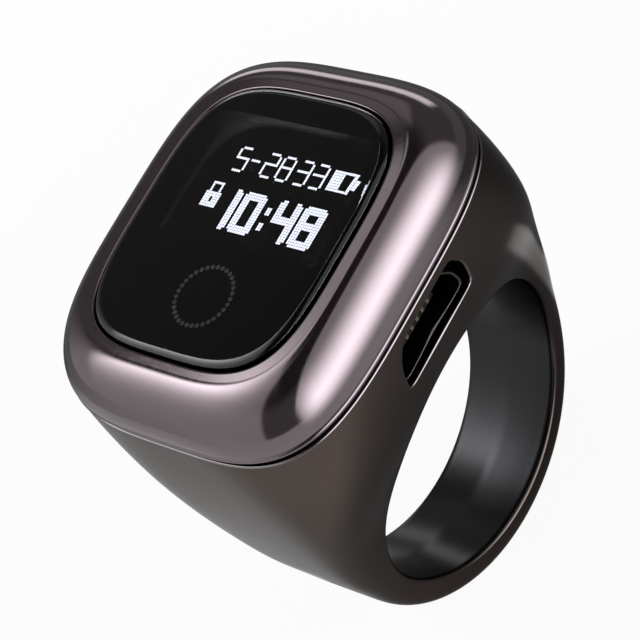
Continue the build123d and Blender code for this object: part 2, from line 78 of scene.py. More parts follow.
BODY_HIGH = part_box("ring_body")[1]
BEZEL_LOW, BEZEL_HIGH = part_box("bezel_cover")
LENS_LOW, LENS_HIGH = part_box("lens")
OLED_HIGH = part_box("oled_glass")[1]
SOCKET_LOW, SOCKET_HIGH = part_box("usb_shell")

# Body sections: half widths, half lengths and corner powers at heights above the finger axis
WIDTH_STATIONS = np.array([(-12.4, 3.85), (-8.0, 3.9), (-3.6, 4.21), (0, 4.95), (6, 6.8), (10, 8.65),
                           (14.5, 10.25), (19.1, 11.6)]) * MM
LENGTH_STATIONS = np.array([(0, 12.75), (4, 13.38), (8, 13.66), (13, 13.66), (19.1, 13.4)]) * MM
BAND_RADIUS = 12.4 * MM
BAND_LEAN = math.acos(BAND_RADIUS / LENGTH_STATIONS[0, 1])
HEAD_POWER = 3.7
BAND_POWER = 9.0
POWER_STATIONS = np.array([(0, BAND_POWER), (10 * MM, 6.4), (19.1 * MM, HEAD_POWER)])

# How finely the shells are divided
LEVELS = 44
BAND_STEPS = 97
TOP_STEPS = 101
SIDE_STEPS = 60
END_STEPS = 49
ROUND_STEPS = 7
LOOP_STEPS = 320
ROLL_STEPS = 44
SLOT_STEPS = 18
SOCKET_STEPS = 120
CUTTER_STEPS = 96
BEVEL_STEPS = 22
BEAD_STEPS = 12
SMALL_STEPS = 16

# Points of the side's border along both ends and the band, before those along the seam
END_ROWS = 2 * LEVELS + BAND_STEPS - 2


def millimetres(name, size, description):
    """A length property given in millimetres."""
    return FloatProperty(name=name, description=description, default=size * MM, unit="LENGTH", precision=5)


def colour(name, value, description):
    """A colour property in scene-linear values."""
    return FloatVectorProperty(name=name, description=description, default=value, subtype="COLOR",
                               size=3, min=0, max=1)


def strength(name, value, description):
    """A brightness property, where 1 is white."""
    return FloatProperty(name=name, description=description, default=value, min=0)


class RingSizes(bpy.types.PropertyGroup):
    """Sizes of the shells that stand in for the solids."""
    finger_radius: millimetres("Finger hole", 10.0, "Radius of the finger hole")
    finger_flare: millimetres("Finger flare", 0.22, "Widening of the finger hole from middle to mouth")
    rim_round: millimetres("Rim round", 0.62, "Round at the mouths of the finger hole")
    seam_edge: millimetres("Seam edge", 0.12, "Round on the body's edge at the seam")
    side_lip: millimetres("Side lip", 0.75, "Width of the bezel's lip beside the lens")
    end_lip: millimetres("End lip", 0.62, "Width of the bezel's lip above and below the lens")
    lip_fall: millimetres("Lip fall", 0.055, "How far the lip falls towards its outer edge")
    rim_edge: millimetres("Opening edge", 0.1, "Round on the bezel's edge beside the lens")
    foot_bead: millimetres("Bezel foot", 0.19, "Radius of the bead along the bezel's foot")
    lens_bevel: millimetres("Lens bevel", 0.42, "Width of the round on the lens edge")
    lens_edge: millimetres("Lens edge", 0.05, "Small round between the bevel and the lens wall")
    slot_edge: millimetres("Slot edge", 0.14, "Round on the edge of the charging slot")
    mark_radius: millimetres("Bead ring", 2.05, "Radius of the ring of beads printed under the lens")
    bead_radius: millimetres("Bead", 0.16, "Radius of one printed bead")


class RingFinishes(bpy.types.PropertyGroup):
    """Colours of the finishes."""
    bezel: colour("Bezel", (0.158, 0.132, 0.145), "Polished plating of the bezel")
    bezel_drift: colour("Bezel, drift", (0.150, 0.127, 0.136), "Slightly browner plating beside it")
    # A copper-brown tone on the bezel's wall round the lens
    opening: colour("Opening", (0.26, 0.16, 0.105), "Warm plating on the wall round the lens")
    # Painted shade: the body's plating is darker than the bezel's, standing in for the shaded floor it
    # mirrors; its browner tone is its own
    body: colour("Body", (0.098, 0.073, 0.065), "Darker polished plating of the body")
    body_drift: colour("Body, drift", (0.048, 0.044, 0.040), "Slightly darker plating beside it")
    # Painted shade: the finger hole's satin plating is darker than the body's, standing in for the shade
    # inside the hole
    bore: colour("Bore", (0.032, 0.032, 0.034), "Satin plating in the finger hole")
    # Painted highlight: a lighter plating colour on the body's rounded edges at the seam and the slot
    painted_edge_highlight: colour("Edges", (0.20, 0.185, 0.19), "Brighter polish along the body's edges")
    # Painted shade: a near-black colour on the walls of the charging slot, where shade falls
    slot_shade: colour("Recess", (0.004, 0.004, 0.004), "Blackened walls of the charging slot")
    lens_tint: colour("Lens tint", (0.085, 0.085, 0.09), "Tint of the smoked lens")
    mask_black: colour("Mask", (0.005, 0.005, 0.006), "Black print under the edge of the lens")
    print_grey: colour("Print", (0.70, 0.70, 0.72), "Ink of the bead ring")
    lit_dot: colour("Lit dots", (0.87, 0.91, 1.0), "Light of the display")
    black_plastic: colour("Black plastic", (0.007, 0.007, 0.008), "Moulded inner parts")
    seal_rubber: colour("Rubber", (0.010, 0.010, 0.010), "Gasket and foam")
    steel: colour("Steel", (0.52, 0.51, 0.50), "Screws, cans and the socket shell")


class RingStage(bpy.types.PropertyGroup):
    """Floor and light."""
    floor: colour("Floor", (0.64, 0.64, 0.64), "Colour of the floor")
    table: colour("Table", (0.3, 0.3, 0.3), "Light from the table past the floor")
    table_front: colour("Table, front", (0.95, 0.95, 0.95), "Light from the table in front of the near end")
    upper_light: strength("Upper light", 7.0, "Brightness of the glow over the far side")
    side_light: strength("Side light", 6.2, "Brightness of the light beside the socket")
    side_veil: strength("Side veil", 0.85, "Brightness of the pale edge above the side light")
    upper_veil: strength("Upper veil", 1.1, "Brightness of the pale band below the upper light")
    back_veil: strength("Back veil", 0.3, "Brightness of the pale patch behind")
    front_wall: strength("Front wall", 0.7, "Brightness of the wall over the near end")
    back_strip: strength("Back strip", 2.8, "Brightness of the low strip behind")
    room: colour("Room", (0.20, 0.19, 0.185), "Light of the room low down")
    ceiling: colour("Ceiling", (0.06, 0.055, 0.055), "Light of the room overhead")
    lens_length: FloatProperty(name="Camera lens", description="Focal length of the camera",
                               default=144.15, unit="CAMERA")


# Grids and meshes


def grid_faces(rows, columns, close_rows=False, close_columns=False):
    """Quads of a grid of points numbered row by row, joined round where asked."""
    row = np.arange(rows if close_rows else rows - 1)[:, None]
    column = np.arange(columns if close_columns else columns - 1)[None, :]
    next_row = (row + 1) % rows
    next_column = (column + 1) % columns
    corners = (row * columns + column, row * columns + next_column,
               next_row * columns + next_column, next_row * columns + column)
    return np.stack(np.broadcast_arrays(*corners), -1).reshape(-1, 4)


def patch(points, close_rows=False, close_columns=False):
    """Points of shape (rows, columns, 3) with the faces of their grid."""
    rows, columns = points.shape[:2]
    return points.reshape(-1, 3), grid_faces(rows, columns, close_rows, close_columns)


def make_piece(name, patches, sharp_degrees=38):
    """One mesh object from patches: shared borders merged, faces turned outwards, shaded smooth."""
    starts = np.cumsum([0] + [len(points) for points, _ in patches])
    points = np.concatenate([points for points, _ in patches])
    faces = np.concatenate([faces + start for (_, faces), start in zip(patches, starts)])
    mesh = bpy.data.meshes.new(name)
    mesh.from_pydata(points, [], faces)
    work = bmesh.new()
    work.from_mesh(mesh)
    bmesh.ops.remove_doubles(work, verts=work.verts, dist=MERGE)
    bmesh.ops.recalc_face_normals(work, faces=work.faces)
    work.to_mesh(mesh)
    work.free()
    mesh.shade_smooth()
    mesh.set_sharp_from_angle(angle=math.radians(sharp_degrees))
    piece = bpy.data.objects.new(name, mesh)
    bpy.context.scene.collection.objects.link(piece)
    return piece


def mesh_points(mesh):
    """Coordinates x, y and z of a mesh's points."""
    points = np.empty(len(mesh.vertices) * 3, np.float32)
    mesh.vertices.foreach_get("co", points)
    return points.reshape(-1, 3).T.astype(float)


def note_points(mesh, name, values):
    """Store one value for each point of a mesh, for a finish to read."""
    mesh.attributes.new(name, "FLOAT", "POINT").data.foreach_set("value", values.astype(np.float32))


def set_on(piece, body, slot, material, *nodes):
    """Ride a new piece on its body, give it its finish and hide the nodes it stands in for; the slot is not
    used.
    """
    piece.data.materials.append(material)
    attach(piece, body)
    if nodes:
        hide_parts(*nodes)


# Curves shared by the shells


def smooth_curve(stations, at, start_slope=None):
    """Cubic spline through (height, size) stations, free at its ends or with a given slope at the first."""
    x, y = stations.T
    step = np.diff(x)
    rise = np.diff(y) / step
    inner = np.arange(1, len(x) - 1)
    matrix = np.eye(len(x))
    load = np.zeros(len(x))
    matrix[inner, inner - 1] = step[:-1]
    matrix[inner, inner] = 2 * (step[:-1] + step[1:])
    matrix[inner, inner + 1] = step[1:]
    load[inner] = 6 * np.diff(rise)
    if start_slope is not None:
        matrix[0, :2] = 2 * step[0], step[0]
        load[0] = 6 * (rise[0] - start_slope)
    bend = np.linalg.solve(matrix, load)
    i = np.clip(np.searchsorted(x, at) - 1, 0, len(x) - 2)
    left = at - x[i]
    right = x[i + 1] - at
    curved = (bend[i] * right ** 3 + bend[i + 1] * left ** 3) / (6 * step[i])
    straight = y[i] * right / step[i] + y[i + 1] * left / step[i]
    return curved + straight - step[i] / 6 * (bend[i] * right + bend[i + 1] * left)


def half_width(z):
    """Half width of the body along X at height z."""
    return smooth_curve(WIDTH_STATIONS, z)


def half_length(z):
    """Half length of the head along Y at height z, leaning in at its foot towards the band."""
    return smooth_curve(LENGTH_STATIONS, np.maximum(z, 0), math.tan(BAND_LEAN))


def outer_reach(y, z):
    """Reach of the outline: half length above the finger axis, and below it R / cos(lean - turn), then R.

    So each end runs straight on below the axis until it meets the band's circle.
    """
    turn = np.arctan2(-z, np.abs(y))
    band = BAND_RADIUS / np.cos(np.clip(BAND_LEAN - turn, 0, BAND_LEAN))
    return np.where(z >= 0, half_length(z), band)


def corner_power(z):
    """Corner power of the level outline at height z."""
    return smooth_curve(POWER_STATIONS, np.maximum(z, 0), 0.0)


def inner_reach(y, z):
    """Reach of a point of the side: |y| above the finger axis and the distance from the axis below it."""
    return np.where(z >= 0, np.abs(y), np.hypot(y, z))


def superellipse(share, power):
    """(1 - |share|^n)^(1/n): one coordinate of a superellipse of power n by the other."""
    return (1 - np.abs(share) ** power) ** (1 / power)


def signed_power(value, power):
    """|value|^power with the sign of the value."""
    return np.sign(value) * np.abs(value) ** power


def side_height(y, z):
    """Distance x of the body's side at (y, z): width times (1 - (reach / length)^n)^(1/n)."""
    share = np.minimum(inner_reach(y, z) / outer_reach(y, z), 1)
    return half_width(z) * superellipse(share, corner_power(z))


def round_loop(unit, half_x, half_y, z, power=HEAD_POWER):
    """Level loop where the rays of unit points meet a superellipse of that power."""
    size = (np.abs(unit) ** power).sum(-1) ** (-1 / power)
    x = half_x * unit[:, 0] * size
    y = half_y * unit[:, 1] * size
    return np.stack([x, y, np.full_like(x, z)], -1)


def even_angles(count):
    """Angles evenly round a circle."""
    return np.arange(count) * 2 * np.pi / count


def headings(angle):
    """Unit vectors (cos, sin) along angles."""
    return np.stack([np.cos(angle), np.sin(angle)], -1)


def round_loops(rows):
    """Level loops on even rays, one for each row of half width, half length, height and perhaps power."""
    rays = headings(even_angles(LOOP_STEPS))
    return np.stack([round_loop(rays, *row) for row in rows])


def cut_corner_reach(angle, wide, top, low, shoulder, high, sharpness=18):
    """Distance from the centre to a slot outline with cut upper corners, along each angle.

    Six half planes bound the outline, and their ray distances are joined by a power mean,
    which rounds the corners.
    """
    slope = np.array([high - shoulder, wide - top]) / math.hypot(high - shoulder, wide - top)
    cut = slope @ np.array([wide, shoulder])
    normals = np.array([(1, 0), (-1, 0), (0, -1), (0, 1), slope, (-slope[0], slope[1])])
    distances = np.array([wide, wide, -low, high, cut, cut])
    facing = headings(angle) @ normals.T / distances
    return (np.maximum(facing, 0) ** sharpness).sum(-1) ** (-1 / sharpness)


# Ring body


SEAM_TOP = BODY_HIGH.z - 0.08 * MM
BORE_STEPS = 15

# Outlines of slot and socket: half width, half width on top, heights of foot, shoulder and top
SLOT_OUTLINE = np.array([3.9, 2.8, -2.2, 0.5, 2.25]) * MM
SOCKET_OUTLINE = np.array([3.75, 2.85, -1.225, 0.125, 1.225]) * MM
SLOT_SHARPNESS = 14
SLOT_Y = 0.5 * MM
SLOT_Z = 15.7 * MM
SLOT_FLOOR_X = 9.05 * MM
SOCKET_Y = 0.4 * MM
SOCKET_Z = (SOCKET_LOW.z + SOCKET_HIGH.z) / 2
SOCKET_WALL = 0.3 * MM
SOCKET_ROOM = 0.05 * MM
SOCKET_CUT_X = np.array([8.0, 10.2]) * MM

# Part of the side that the slot's patch takes over, and the zone round the slot: least x, reach in y and z
SLOT_SKIN_Y = (-7.3 * MM, 8.1 * MM)
SLOT_SKIN_STEPS = (7, SIDE_STEPS - 9)
SLOT_ZONE = np.array([8.8, 4.4, 2.6]) * MM

# The hollow under the bezel: half width, half length, height and corner power
POCKET_LOOPS = [
    (10.2 * MM, 12.0 * MM, SEAM_TOP, HEAD_POWER),
    (10.2 * MM, 12.0 * MM, 18.4 * MM, HEAD_POWER),
    (8.6 * MM, 11.6 * MM, 18.4 * MM, 8.0),
    (8.6 * MM, 11.6 * MM, 13.0 * MM, 8.0),
    (7.0 * MM, 8.0 * MM, 13.0 * MM, 8.0),
    (7.0 * MM, 8.0 * MM, 11.3 * MM, 8.0),
    (0.0, 0.0, 11.3 * MM, 8.0),
]


def body_border(sizes):
    """Points (y, z) round the side face: the ridge of each end, the band's ridge and the seam line.

    A ridge is where the superellipse turns from the side to the end, at 2^(-1/n) of its size.
    """
    level = np.linspace(SEAM_TOP - sizes.seam_edge, 0, LEVELS)
    ridge = half_length(level) * 2 ** (-1 / corner_power(level))
    turn = np.linspace(0, np.pi, BAND_STEPS)[1:-1]
    seam = np.linspace(-ridge[0], ridge[0], TOP_STEPS)[1:-1]
    far = np.stack([ridge, level], -1)
    under = headings(-turn)
    under *= (outer_reach(*under.T) * 2 ** (-1 / BAND_POWER))[:, None]
    near = np.stack([-ridge, level], -1)[::-1]
    top = np.stack([seam, np.full_like(seam, level[0])], -1)
    return np.concatenate([far, under, near, top])


def side_grid(sizes, border):
    """Points (y, z) of a side face on straight rays from the rim of the finger hole to its border."""
    reach = np.hypot(*border.T)[:, None]
    rim = border / reach * (sizes.finger_radius + sizes.rim_round)
    share = np.sin(np.linspace(0, np.pi / 2, SIDE_STEPS))[None, :, None]
    return rim[:, None] + (border - rim)[:, None] * share


def side_points(grid, side):
    """Points of a side face: the grid's (y, z) at the body's half width."""
    height = side_height(grid[..., 0], grid[..., 1]) * side
    return np.concatenate([height[..., None], grid], -1)


def end_patch(border):
    """Both ends and the band's outside: rows along the border, columns across from ridge to ridge.

    Across a row x is w times the half width, and the reach is length times (1 - |w|^n)^(1/n).
    """
    rows = border[:END_ROWS]
    across = np.sin(np.linspace(np.pi / 2, -np.pi / 2, END_STEPS))[None]
    y, z = rows[:, :1], rows[:, 1:]
    power = corner_power(z)
    share = across * 2 ** (-1 / power)
    reach = outer_reach(y, z) * superellipse(share, power)
    heading = rows / inner_reach(y, z)
    out_y = reach * heading[:, :1]
    out_z = np.where(z >= 0, z + 0 * reach, reach * heading[:, 1:])
    return patch(np.stack([half_width(out_z) * share, out_y, out_z], -1))


def bore_patch(sizes, border):
    """Finger hole with both rounded rims: each rim is a quadratic curve from the side to the wall.

    The wall widens evenly from the middle to each rim.
    """
    heading = border / np.hypot(*border.T)[:, None]
    radius = sizes.finger_radius
    mouth = radius + sizes.finger_flare
    outer = radius + sizes.rim_round
    start = side_height(*(heading * outer).T)
    corner = side_height(*(heading * mouth).T)
    t = np.linspace(0, 1, ROUND_STEPS + 2)[:, None]
    rim_r = mouth + (outer - mouth) * (1 - t) ** 2 + 0 * start
    rim_x = (1 - t) ** 2 * start + 2 * t * (1 - t) * corner + t ** 2 * (corner - sizes.rim_round)
    along = np.linspace(1, -1, BORE_STEPS)[1:-1, None]
    wall_x = along * rim_x[-1]
    wall_r = radius + sizes.finger_flare * np.abs(along) + 0 * wall_x
    x = np.concatenate([rim_x, wall_x, -rim_x[::-1]])
    r = np.concatenate([rim_r, wall_r, rim_r[::-1]])
    return patch(np.stack([x, r * heading[:, 0], r * heading[:, 1]], -1), close_columns=True)


def seam_patch(sizes, border):
    """The rounded edge at the seam, the flat behind it and the hollow down to its floor."""
    z = border[0, 1]
    line = np.concatenate([border[END_ROWS - 1:], border[:1]])[:, 0]
    power = corner_power(z)
    across = np.sin(np.linspace(np.pi / 2, -np.pi / 2, END_STEPS))[1:-1] * 2 ** (-1 / power)
    end_y = half_length(z) * superellipse(across, power)
    side = np.stack([side_height(line, z), line], -1)
    end = np.stack([half_width(z) * across, end_y], -1)
    loop = np.concatenate([side, end, -side, -end])
    size = np.array([half_width(z), half_length(z)])
    unit = loop / size
    normal = signed_power(unit, power - 1) / size
    normal /= np.hypot(*normal.T)[:, None]
    turn = np.linspace(0, np.pi / 2, ROUND_STEPS)[:, None, None]
    inset = loop - normal * sizes.seam_edge * (1 - np.cos(turn))
    height = np.broadcast_to(z + sizes.seam_edge * np.sin(turn), inset.shape[:2] + (1,))
    rounded = np.concatenate([inset, height], -1)
    hollow = [round_loop(unit, *row) for row in POCKET_LOOPS]
    return patch(np.concatenate([rounded, np.stack(hollow)]), close_columns=True)


def slot_window(border):
    """First and last ray, and first and last step, of the side grid that the slot's own patch takes over."""
    line = border[END_ROWS:, 0]
    rays = END_ROWS + np.flatnonzero((line > SLOT_SKIN_Y[0]) & (line < SLOT_SKIN_Y[1]))
    return rays[0], rays[-1], *SLOT_SKIN_STEPS


def slot_patch(sizes, grid, window):
    """The side round the charging slot, the slot's rounded edge, wall and floor, as one set of loops."""
    low, high, inner, outer = window
    edge = np.concatenate([grid[low:high, inner], grid[high, inner:outer],
                           grid[high:low:-1, outer], grid[low, outer:inner:-1]])
    centre = np.array([SLOT_Y, SLOT_Z])
    angle = np.arctan2(*(edge - centre).T[::-1])
    heading = headings(angle)
    reach = cut_corner_reach(angle, *SLOT_OUTLINE, SLOT_SHARPNESS)[:, None]
    mouth = centre + heading * (reach + sizes.slot_edge)
    share = np.linspace(0, 1, SLOT_STEPS)[:, None, None]
    skin = edge + (mouth - edge) * share
    skin_x = side_height(skin[..., 0], skin[..., 1])
    turn = np.linspace(0, np.pi / 2, ROUND_STEPS)[1:, None]
    rounded = centre + heading * (reach + sizes.slot_edge * (1 - np.sin(turn))[..., None])
    rounded_x = skin_x[-1] - sizes.slot_edge * (1 - np.cos(turn))
    wall = centre + heading * reach * np.array([1, 1, 0.5, 0])[:, None, None]
    wall_x = np.full(wall.shape[:2], SLOT_FLOOR_X)
    wall_x[0] = (rounded_x[-1] + SLOT_FLOOR_X) / 2
    x = np.concatenate([skin_x, rounded_x, wall_x])
    yz = np.concatenate([skin, rounded, wall])
    return patch(np.concatenate([x[..., None], yz], -1), close_columns=True)


def socket_cutter():
    """Straight prism through the slot's floor into the hollow, with room for the socket shell."""
    angle = even_angles(CUTTER_STEPS)
    reach = (cut_corner_reach(angle, *SOCKET_OUTLINE) + SOCKET_ROOM) * np.array([0, 1, 1, 0])[:, None]
    x = np.repeat(SOCKET_CUT_X, 2)[:, None] + 0 * reach
    points = np.stack([x, SOCKET_Y + np.cos(angle) * reach, SOCKET_Z + np.sin(angle) * reach], -1)
    return make_piece("socket_cutter", [patch(points, close_columns=True)])


def cut_away(piece, cutter):
    """Subtract the cutter from a piece for good and delete it."""
    cut = piece.modifiers.new("cut", "BOOLEAN")
    cut.object = cutter
    cut.solver = "EXACT"
    mesh = bpy.data.meshes.new_from_object(piece.evaluated_get(bpy.context.evaluated_depsgraph_get()))
    piece.modifiers.clear()
    old = piece.data
    piece.data = mesh
    mesh.name = old.name
    bpy.data.meshes.remove(old)
    bpy.data.objects.remove(cutter)


def ring_skin(sizes):
    """The polished ring body as one closed skin."""
    border = body_border(sizes)
    grid = side_grid(sizes, border)
    window = slot_window(border)
    low, high, inner, outer = window
    right = side_points(grid, 1)
    faces = grid_faces(*grid.shape[:2], close_rows=True)
    ray, step = np.divmod(faces[:, 0], SIDE_STEPS)
    kept = ~((ray >= low) & (ray < high) & (step >= inner) & (step < outer))
    patches = [
        (right.reshape(-1, 3), faces[kept]),
        patch(side_points(grid, -1), close_rows=True),
        end_patch(border),
        bore_patch(sizes, border),
        seam_patch(sizes, border),
        slot_patch(sizes, grid, window),
    ]
    piece = make_piece("ring_body_skin", patches)
    cut_away(piece, socket_cutter())
    mark_zones(piece.data, sizes)
    return piece


def mark_zones(mesh, sizes):
    """Point attributes for the finish: 1 on rounded edges, for a painted highlight, and 1 in the charging
    slot.

    The slot's painted shade deepens over the last two fifths of its edge's depth.
    """
    x, y, z = mesh_points(mesh)
    depth = side_height(y, z) - x
    least_x, reach_y, reach_z = SLOT_ZONE
    by_slot = (x > least_x) & (np.abs(y - SLOT_Y) < reach_y) & (np.abs(z - SLOT_Z) < reach_z)
    # Painted shade in the slot, deeper with depth
    slot_shade = by_slot * np.clip((depth - 0.6 * sizes.slot_edge) / (0.4 * sizes.slot_edge), 0, 1)
    rounded = by_slot & (depth > 0.02 * sizes.slot_edge)
    seam = z > SEAM_TOP - 0.97 * sizes.seam_edge
    note_points(mesh, "slot_shade", slot_shade)
    note_points(mesh, "edge", (rounded | seam) * (1 - slot_shade))


def socket_tube():
    """Socket shell: a tube with cut upper corners, its lip a half round, closed at the back."""
    angle = even_angles(SOCKET_STEPS)
    turn = np.linspace(0, np.pi, 9)
    lip = SOCKET_WALL / 2
    back, floor = SOCKET_LOW.x, SOCKET_LOW.x + SOCKET_WALL
    inset = np.concatenate([[0], lip * (1 - np.cos(turn)), [SOCKET_WALL]])[:, None]
    loops = cut_corner_reach(angle, *SOCKET_OUTLINE) - inset
    loops = np.concatenate([loops[:1] * 0, loops, loops[-1:] * 0])
    x = np.concatenate([[back, back], SOCKET_HIGH.x - lip * (1 - np.sin(turn)), [floor, floor]])
    points = np.stack([x[:, None] + 0 * loops, SOCKET_Y + loops * np.cos(angle),
                       SOCKET_Z + loops * np.sin(angle)], -1)
    return make_piece("socket_tube", [patch(points, close_columns=True)])


CONTACT_LOW, CONTACT_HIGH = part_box("usb_contacts")
TONGUE_LOW, TONGUE_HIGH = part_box("usb_tongue")
CONTACTS = 5
CONTACT_WIDE = 0.3 * MM
CONTACT_THICK = 0.1 * MM
TIP_BEND = 0.1 * MM
TIP_DROP = 0.42 * MM


def contact_strips():
    """Five contacts that run along the tongue and hook over its front, each with a rounded section."""
    skin = CONTACT_THICK / 2
    level = (CONTACT_LOW.z + CONTACT_HIGH.z) / 2
    down = math.copysign(1, (TONGUE_LOW.z + TONGUE_HIGH.z) / 2 - level)
    front = TONGUE_HIGH.x + skin
    turn = np.linspace(0, np.pi / 2, 6)
    x = np.concatenate([[CONTACT_LOW.x], front - TIP_BEND * (1 - np.sin(turn)), [front]])
    z = np.concatenate([[level], level + down * TIP_BEND * (1 - np.cos(turn)), [level + down * TIP_DROP]])
    along = np.stack([np.gradient(x), np.gradient(z)], -1)
    across = along[:, ::-1] * (-1, 1) / np.hypot(*along.T)[:, None]
    angle = even_angles(SMALL_STEPS)
    side = CONTACT_WIDE / 2 * signed_power(np.cos(angle), 0.5)
    rise = skin * signed_power(np.sin(angle), 0.5)
    size = np.concatenate([[0], np.ones(len(x)), [0]])[:, None]
    rows = np.concatenate([[0], np.arange(len(x)), [len(x) - 1]])
    centres = np.linspace(-1, 1, CONTACTS) * (CONTACT_HIGH.y - CONTACT_LOW.y - CONTACT_WIDE) / 2
    middle = (CONTACT_LOW.y + CONTACT_HIGH.y) / 2
    strip_x = x[rows, None] + across[rows, :1] * rise * size
    strip_z = z[rows, None] + across[rows, 1:] * rise * size
    strips = [np.stack([strip_x, middle + centre + side * size, strip_z], -1) for centre in centres]
    return make_piece("contact_strips", [patch(strip, close_columns=True) for strip in strips])


# Bezel and lens


OPENING = np.array([8.44, 9.63]) * MM
LIP_UNDER = 22.05 * MM
BEZEL_FOOT = 19.22 * MM
BEZEL_INSIDE = np.array([9.3, 11.1]) * MM
BEZEL_TONGUE = np.array([10.1, 11.9]) * MM
ROLL_POWER = 1.75
BEAD_CREASE = 0.07 * MM


def bezel_shell(sizes):
    """Bezel as a closed ring: each row is a superellipse, and the rows run round its section.

    The roll is a superellipse of power p: out = cos^(2/p), rise = sin^(2/p) between lip and foot.
    A bead follows it along the foot, above the seam.
    """
    top = BEZEL_HIGH.z
    head = np.array([BEZEL_HIGH.x, BEZEL_HIGH.y])
    rim = np.linspace(0, np.pi / 2, ROUND_STEPS)
    roll = np.linspace(np.pi / 2, 0, ROLL_STEPS)
    lip_in = OPENING + sizes.rim_edge
    lip = OPENING + np.array([sizes.side_lip, sizes.end_lip])
    bead = sizes.foot_bead
    foot = BEZEL_FOOT + 2 * bead + BEAD_CREASE
    out = np.maximum(np.cos(roll), 0) ** (2 / ROLL_POWER)
    rise = np.sin(roll) ** (2 / ROLL_POWER)
    rows = [(*BEZEL_INSIDE, BEZEL_LOW.z), (*BEZEL_INSIDE, LIP_UNDER), (*OPENING, LIP_UNDER)]
    rows += [(*(lip_in - sizes.rim_edge * math.cos(t)), top - sizes.rim_edge * (1 - math.sin(t)))
             for t in rim]
    rows += [(*(lip_in + (lip - lip_in) * share), top - sizes.lip_fall * share) for share in (0.1, 0.5, 0.9)]
    rows += [(*(lip + (head - BEAD_CREASE - lip) * o), foot + (top - sizes.lip_fall - foot) * r)
             for o, r in zip(out, rise)]
    rows += [(*(head - bead * (1 - math.cos(t))), BEZEL_FOOT + bead * (1 + math.sin(t)))
             for t in np.radians(np.linspace(70, -90, BEAD_STEPS))]
    rows += [(*BEZEL_TONGUE, BEZEL_FOOT), (*BEZEL_TONGUE, BEZEL_LOW.z)]
    piece = make_piece("bezel_shell", [patch(round_loops(rows), close_rows=True, close_columns=True)])
    x, y, z = mesh_points(piece.data)
    reach = (np.abs(x / OPENING[0]) ** HEAD_POWER + np.abs(y / OPENING[1]) ** HEAD_POWER) ** (1 / HEAD_POWER)
    wall = np.clip(1 - (reach - 1) * OPENING[0] / (0.4 * sizes.rim_edge), 0, 1) * (z > LIP_UNDER - MERGE)
    note_points(piece.data, "opening", wall)
    return piece


LENS_HALF = np.array([LENS_HIGH.x, LENS_HIGH.y])
LENS_UNDER = LENS_LOW.z + 0.02 * MM
LENS_CHAMFER = 0.08 * MM
BEVEL_TURN = math.radians(38)


def lens_glass(sizes):
    """Lens: a flat disc, a bevel that turns down, a small edge round, a wall and a chamfer.

    The bevel's slope grows as share^0.7 of its width, up to the slope where the edge round starts.
    """
    edge = sizes.lens_edge
    flat = LENS_HALF - edge * (1 - math.sin(BEVEL_TURN)) - sizes.lens_bevel
    share = np.linspace(0, 1, BEVEL_STEPS) ** 1.5
    slope = np.tan(BEVEL_TURN * share ** 0.7)
    drop = np.cumsum(np.diff(share) * (slope[1:] + slope[:-1]) / 2) * sizes.lens_bevel
    fall = LENS_HIGH.z - np.concatenate([[0], drop])
    rows = [(*(flat * part), LENS_HIGH.z) for part in (0, 0.3, 0.6, 0.85, 0.97)]
    rows += [(*(flat + sizes.lens_bevel * s), z) for s, z in zip(share, fall)]
    rows += [(*(LENS_HALF - edge * (1 - math.sin(t))), fall[-1] - edge * (math.cos(BEVEL_TURN) - math.cos(t)))
             for t in np.linspace(BEVEL_TURN, np.pi / 2, ROUND_STEPS + 1)[1:]]
    rows += [(*LENS_HALF, LENS_UNDER + LENS_CHAMFER), (*(LENS_HALF - LENS_CHAMFER), LENS_UNDER)]
    rows += [(*((LENS_HALF - LENS_CHAMFER) * share), LENS_UNDER) for share in (0.7, 0.35, 0)]
    return make_piece("lens_glass", [patch(round_loops(rows), close_columns=True)], sharp_degrees=60)


MASK_DEPTH = 0.02 * MM
MASK_THICK = 0.006 * MM
MASK_TOP = LENS_HIGH.z - 0.32 * MM
WINDOW = (7.2 * MM, 4.55 * MM)
WINDOW_Y = 3.1 * MM
WINDOW_POWER = 12.0


def lens_mask():
    """Black print on the wall and underside of the lens, as a thin closed tray with a window."""
    chamfer = LENS_CHAMFER + MASK_DEPTH
    low = LENS_UNDER + MASK_DEPTH / 2
    sides = []
    for inset in (0, MASK_THICK):
        rows = [(*(LENS_HALF - MASK_DEPTH - inset), MASK_TOP),
                (*(LENS_HALF - MASK_DEPTH - inset), LENS_UNDER + chamfer),
                (*(LENS_HALF - chamfer - inset), low + inset),
                (*WINDOW, low + inset, WINDOW_POWER)]
        loops = round_loops(rows)
        loops[-1, :, 1] += WINDOW_Y
        sides.append(loops)
    outside, inside = sides
    loops = np.concatenate([outside, inside[::-1]])
    return make_piece("lens_mask", [patch(loops, close_rows=True, close_columns=True)])


BEADS = 33
MARK_Y = -4.9 * MM
MARK_RISE = 0.03 * MM


def bead_print(sizes):
    """Ring of small printed discs under the lens, one for each bead of a short tasbih."""
    place = 2 * np.pi * (np.arange(BEADS) + 0.5) / BEADS
    turn = even_angles(SMALL_STEPS)
    share = np.array([0, 1])[:, None]
    x = sizes.mark_radius * np.sin(place)[:, None, None] + sizes.bead_radius * share * np.cos(turn)
    y = sizes.mark_radius * np.cos(place)[:, None, None] + sizes.bead_radius * share * np.sin(turn)
    z = np.full_like(x, LENS_UNDER + MARK_RISE)
    discs = np.stack([x, y + MARK_Y, z], -1)
    return make_piece("bead_print", [patch(disc, close_columns=True) for disc in discs])


# Display


FIELD = (64, 32)
FIELD_X = 11.8 * MM
FIELD_TOP = 6.0 * MM
DOT_FILL = 0.87
DOT_RISE = 0.01 * MM
DOT_GLOW = 17.5

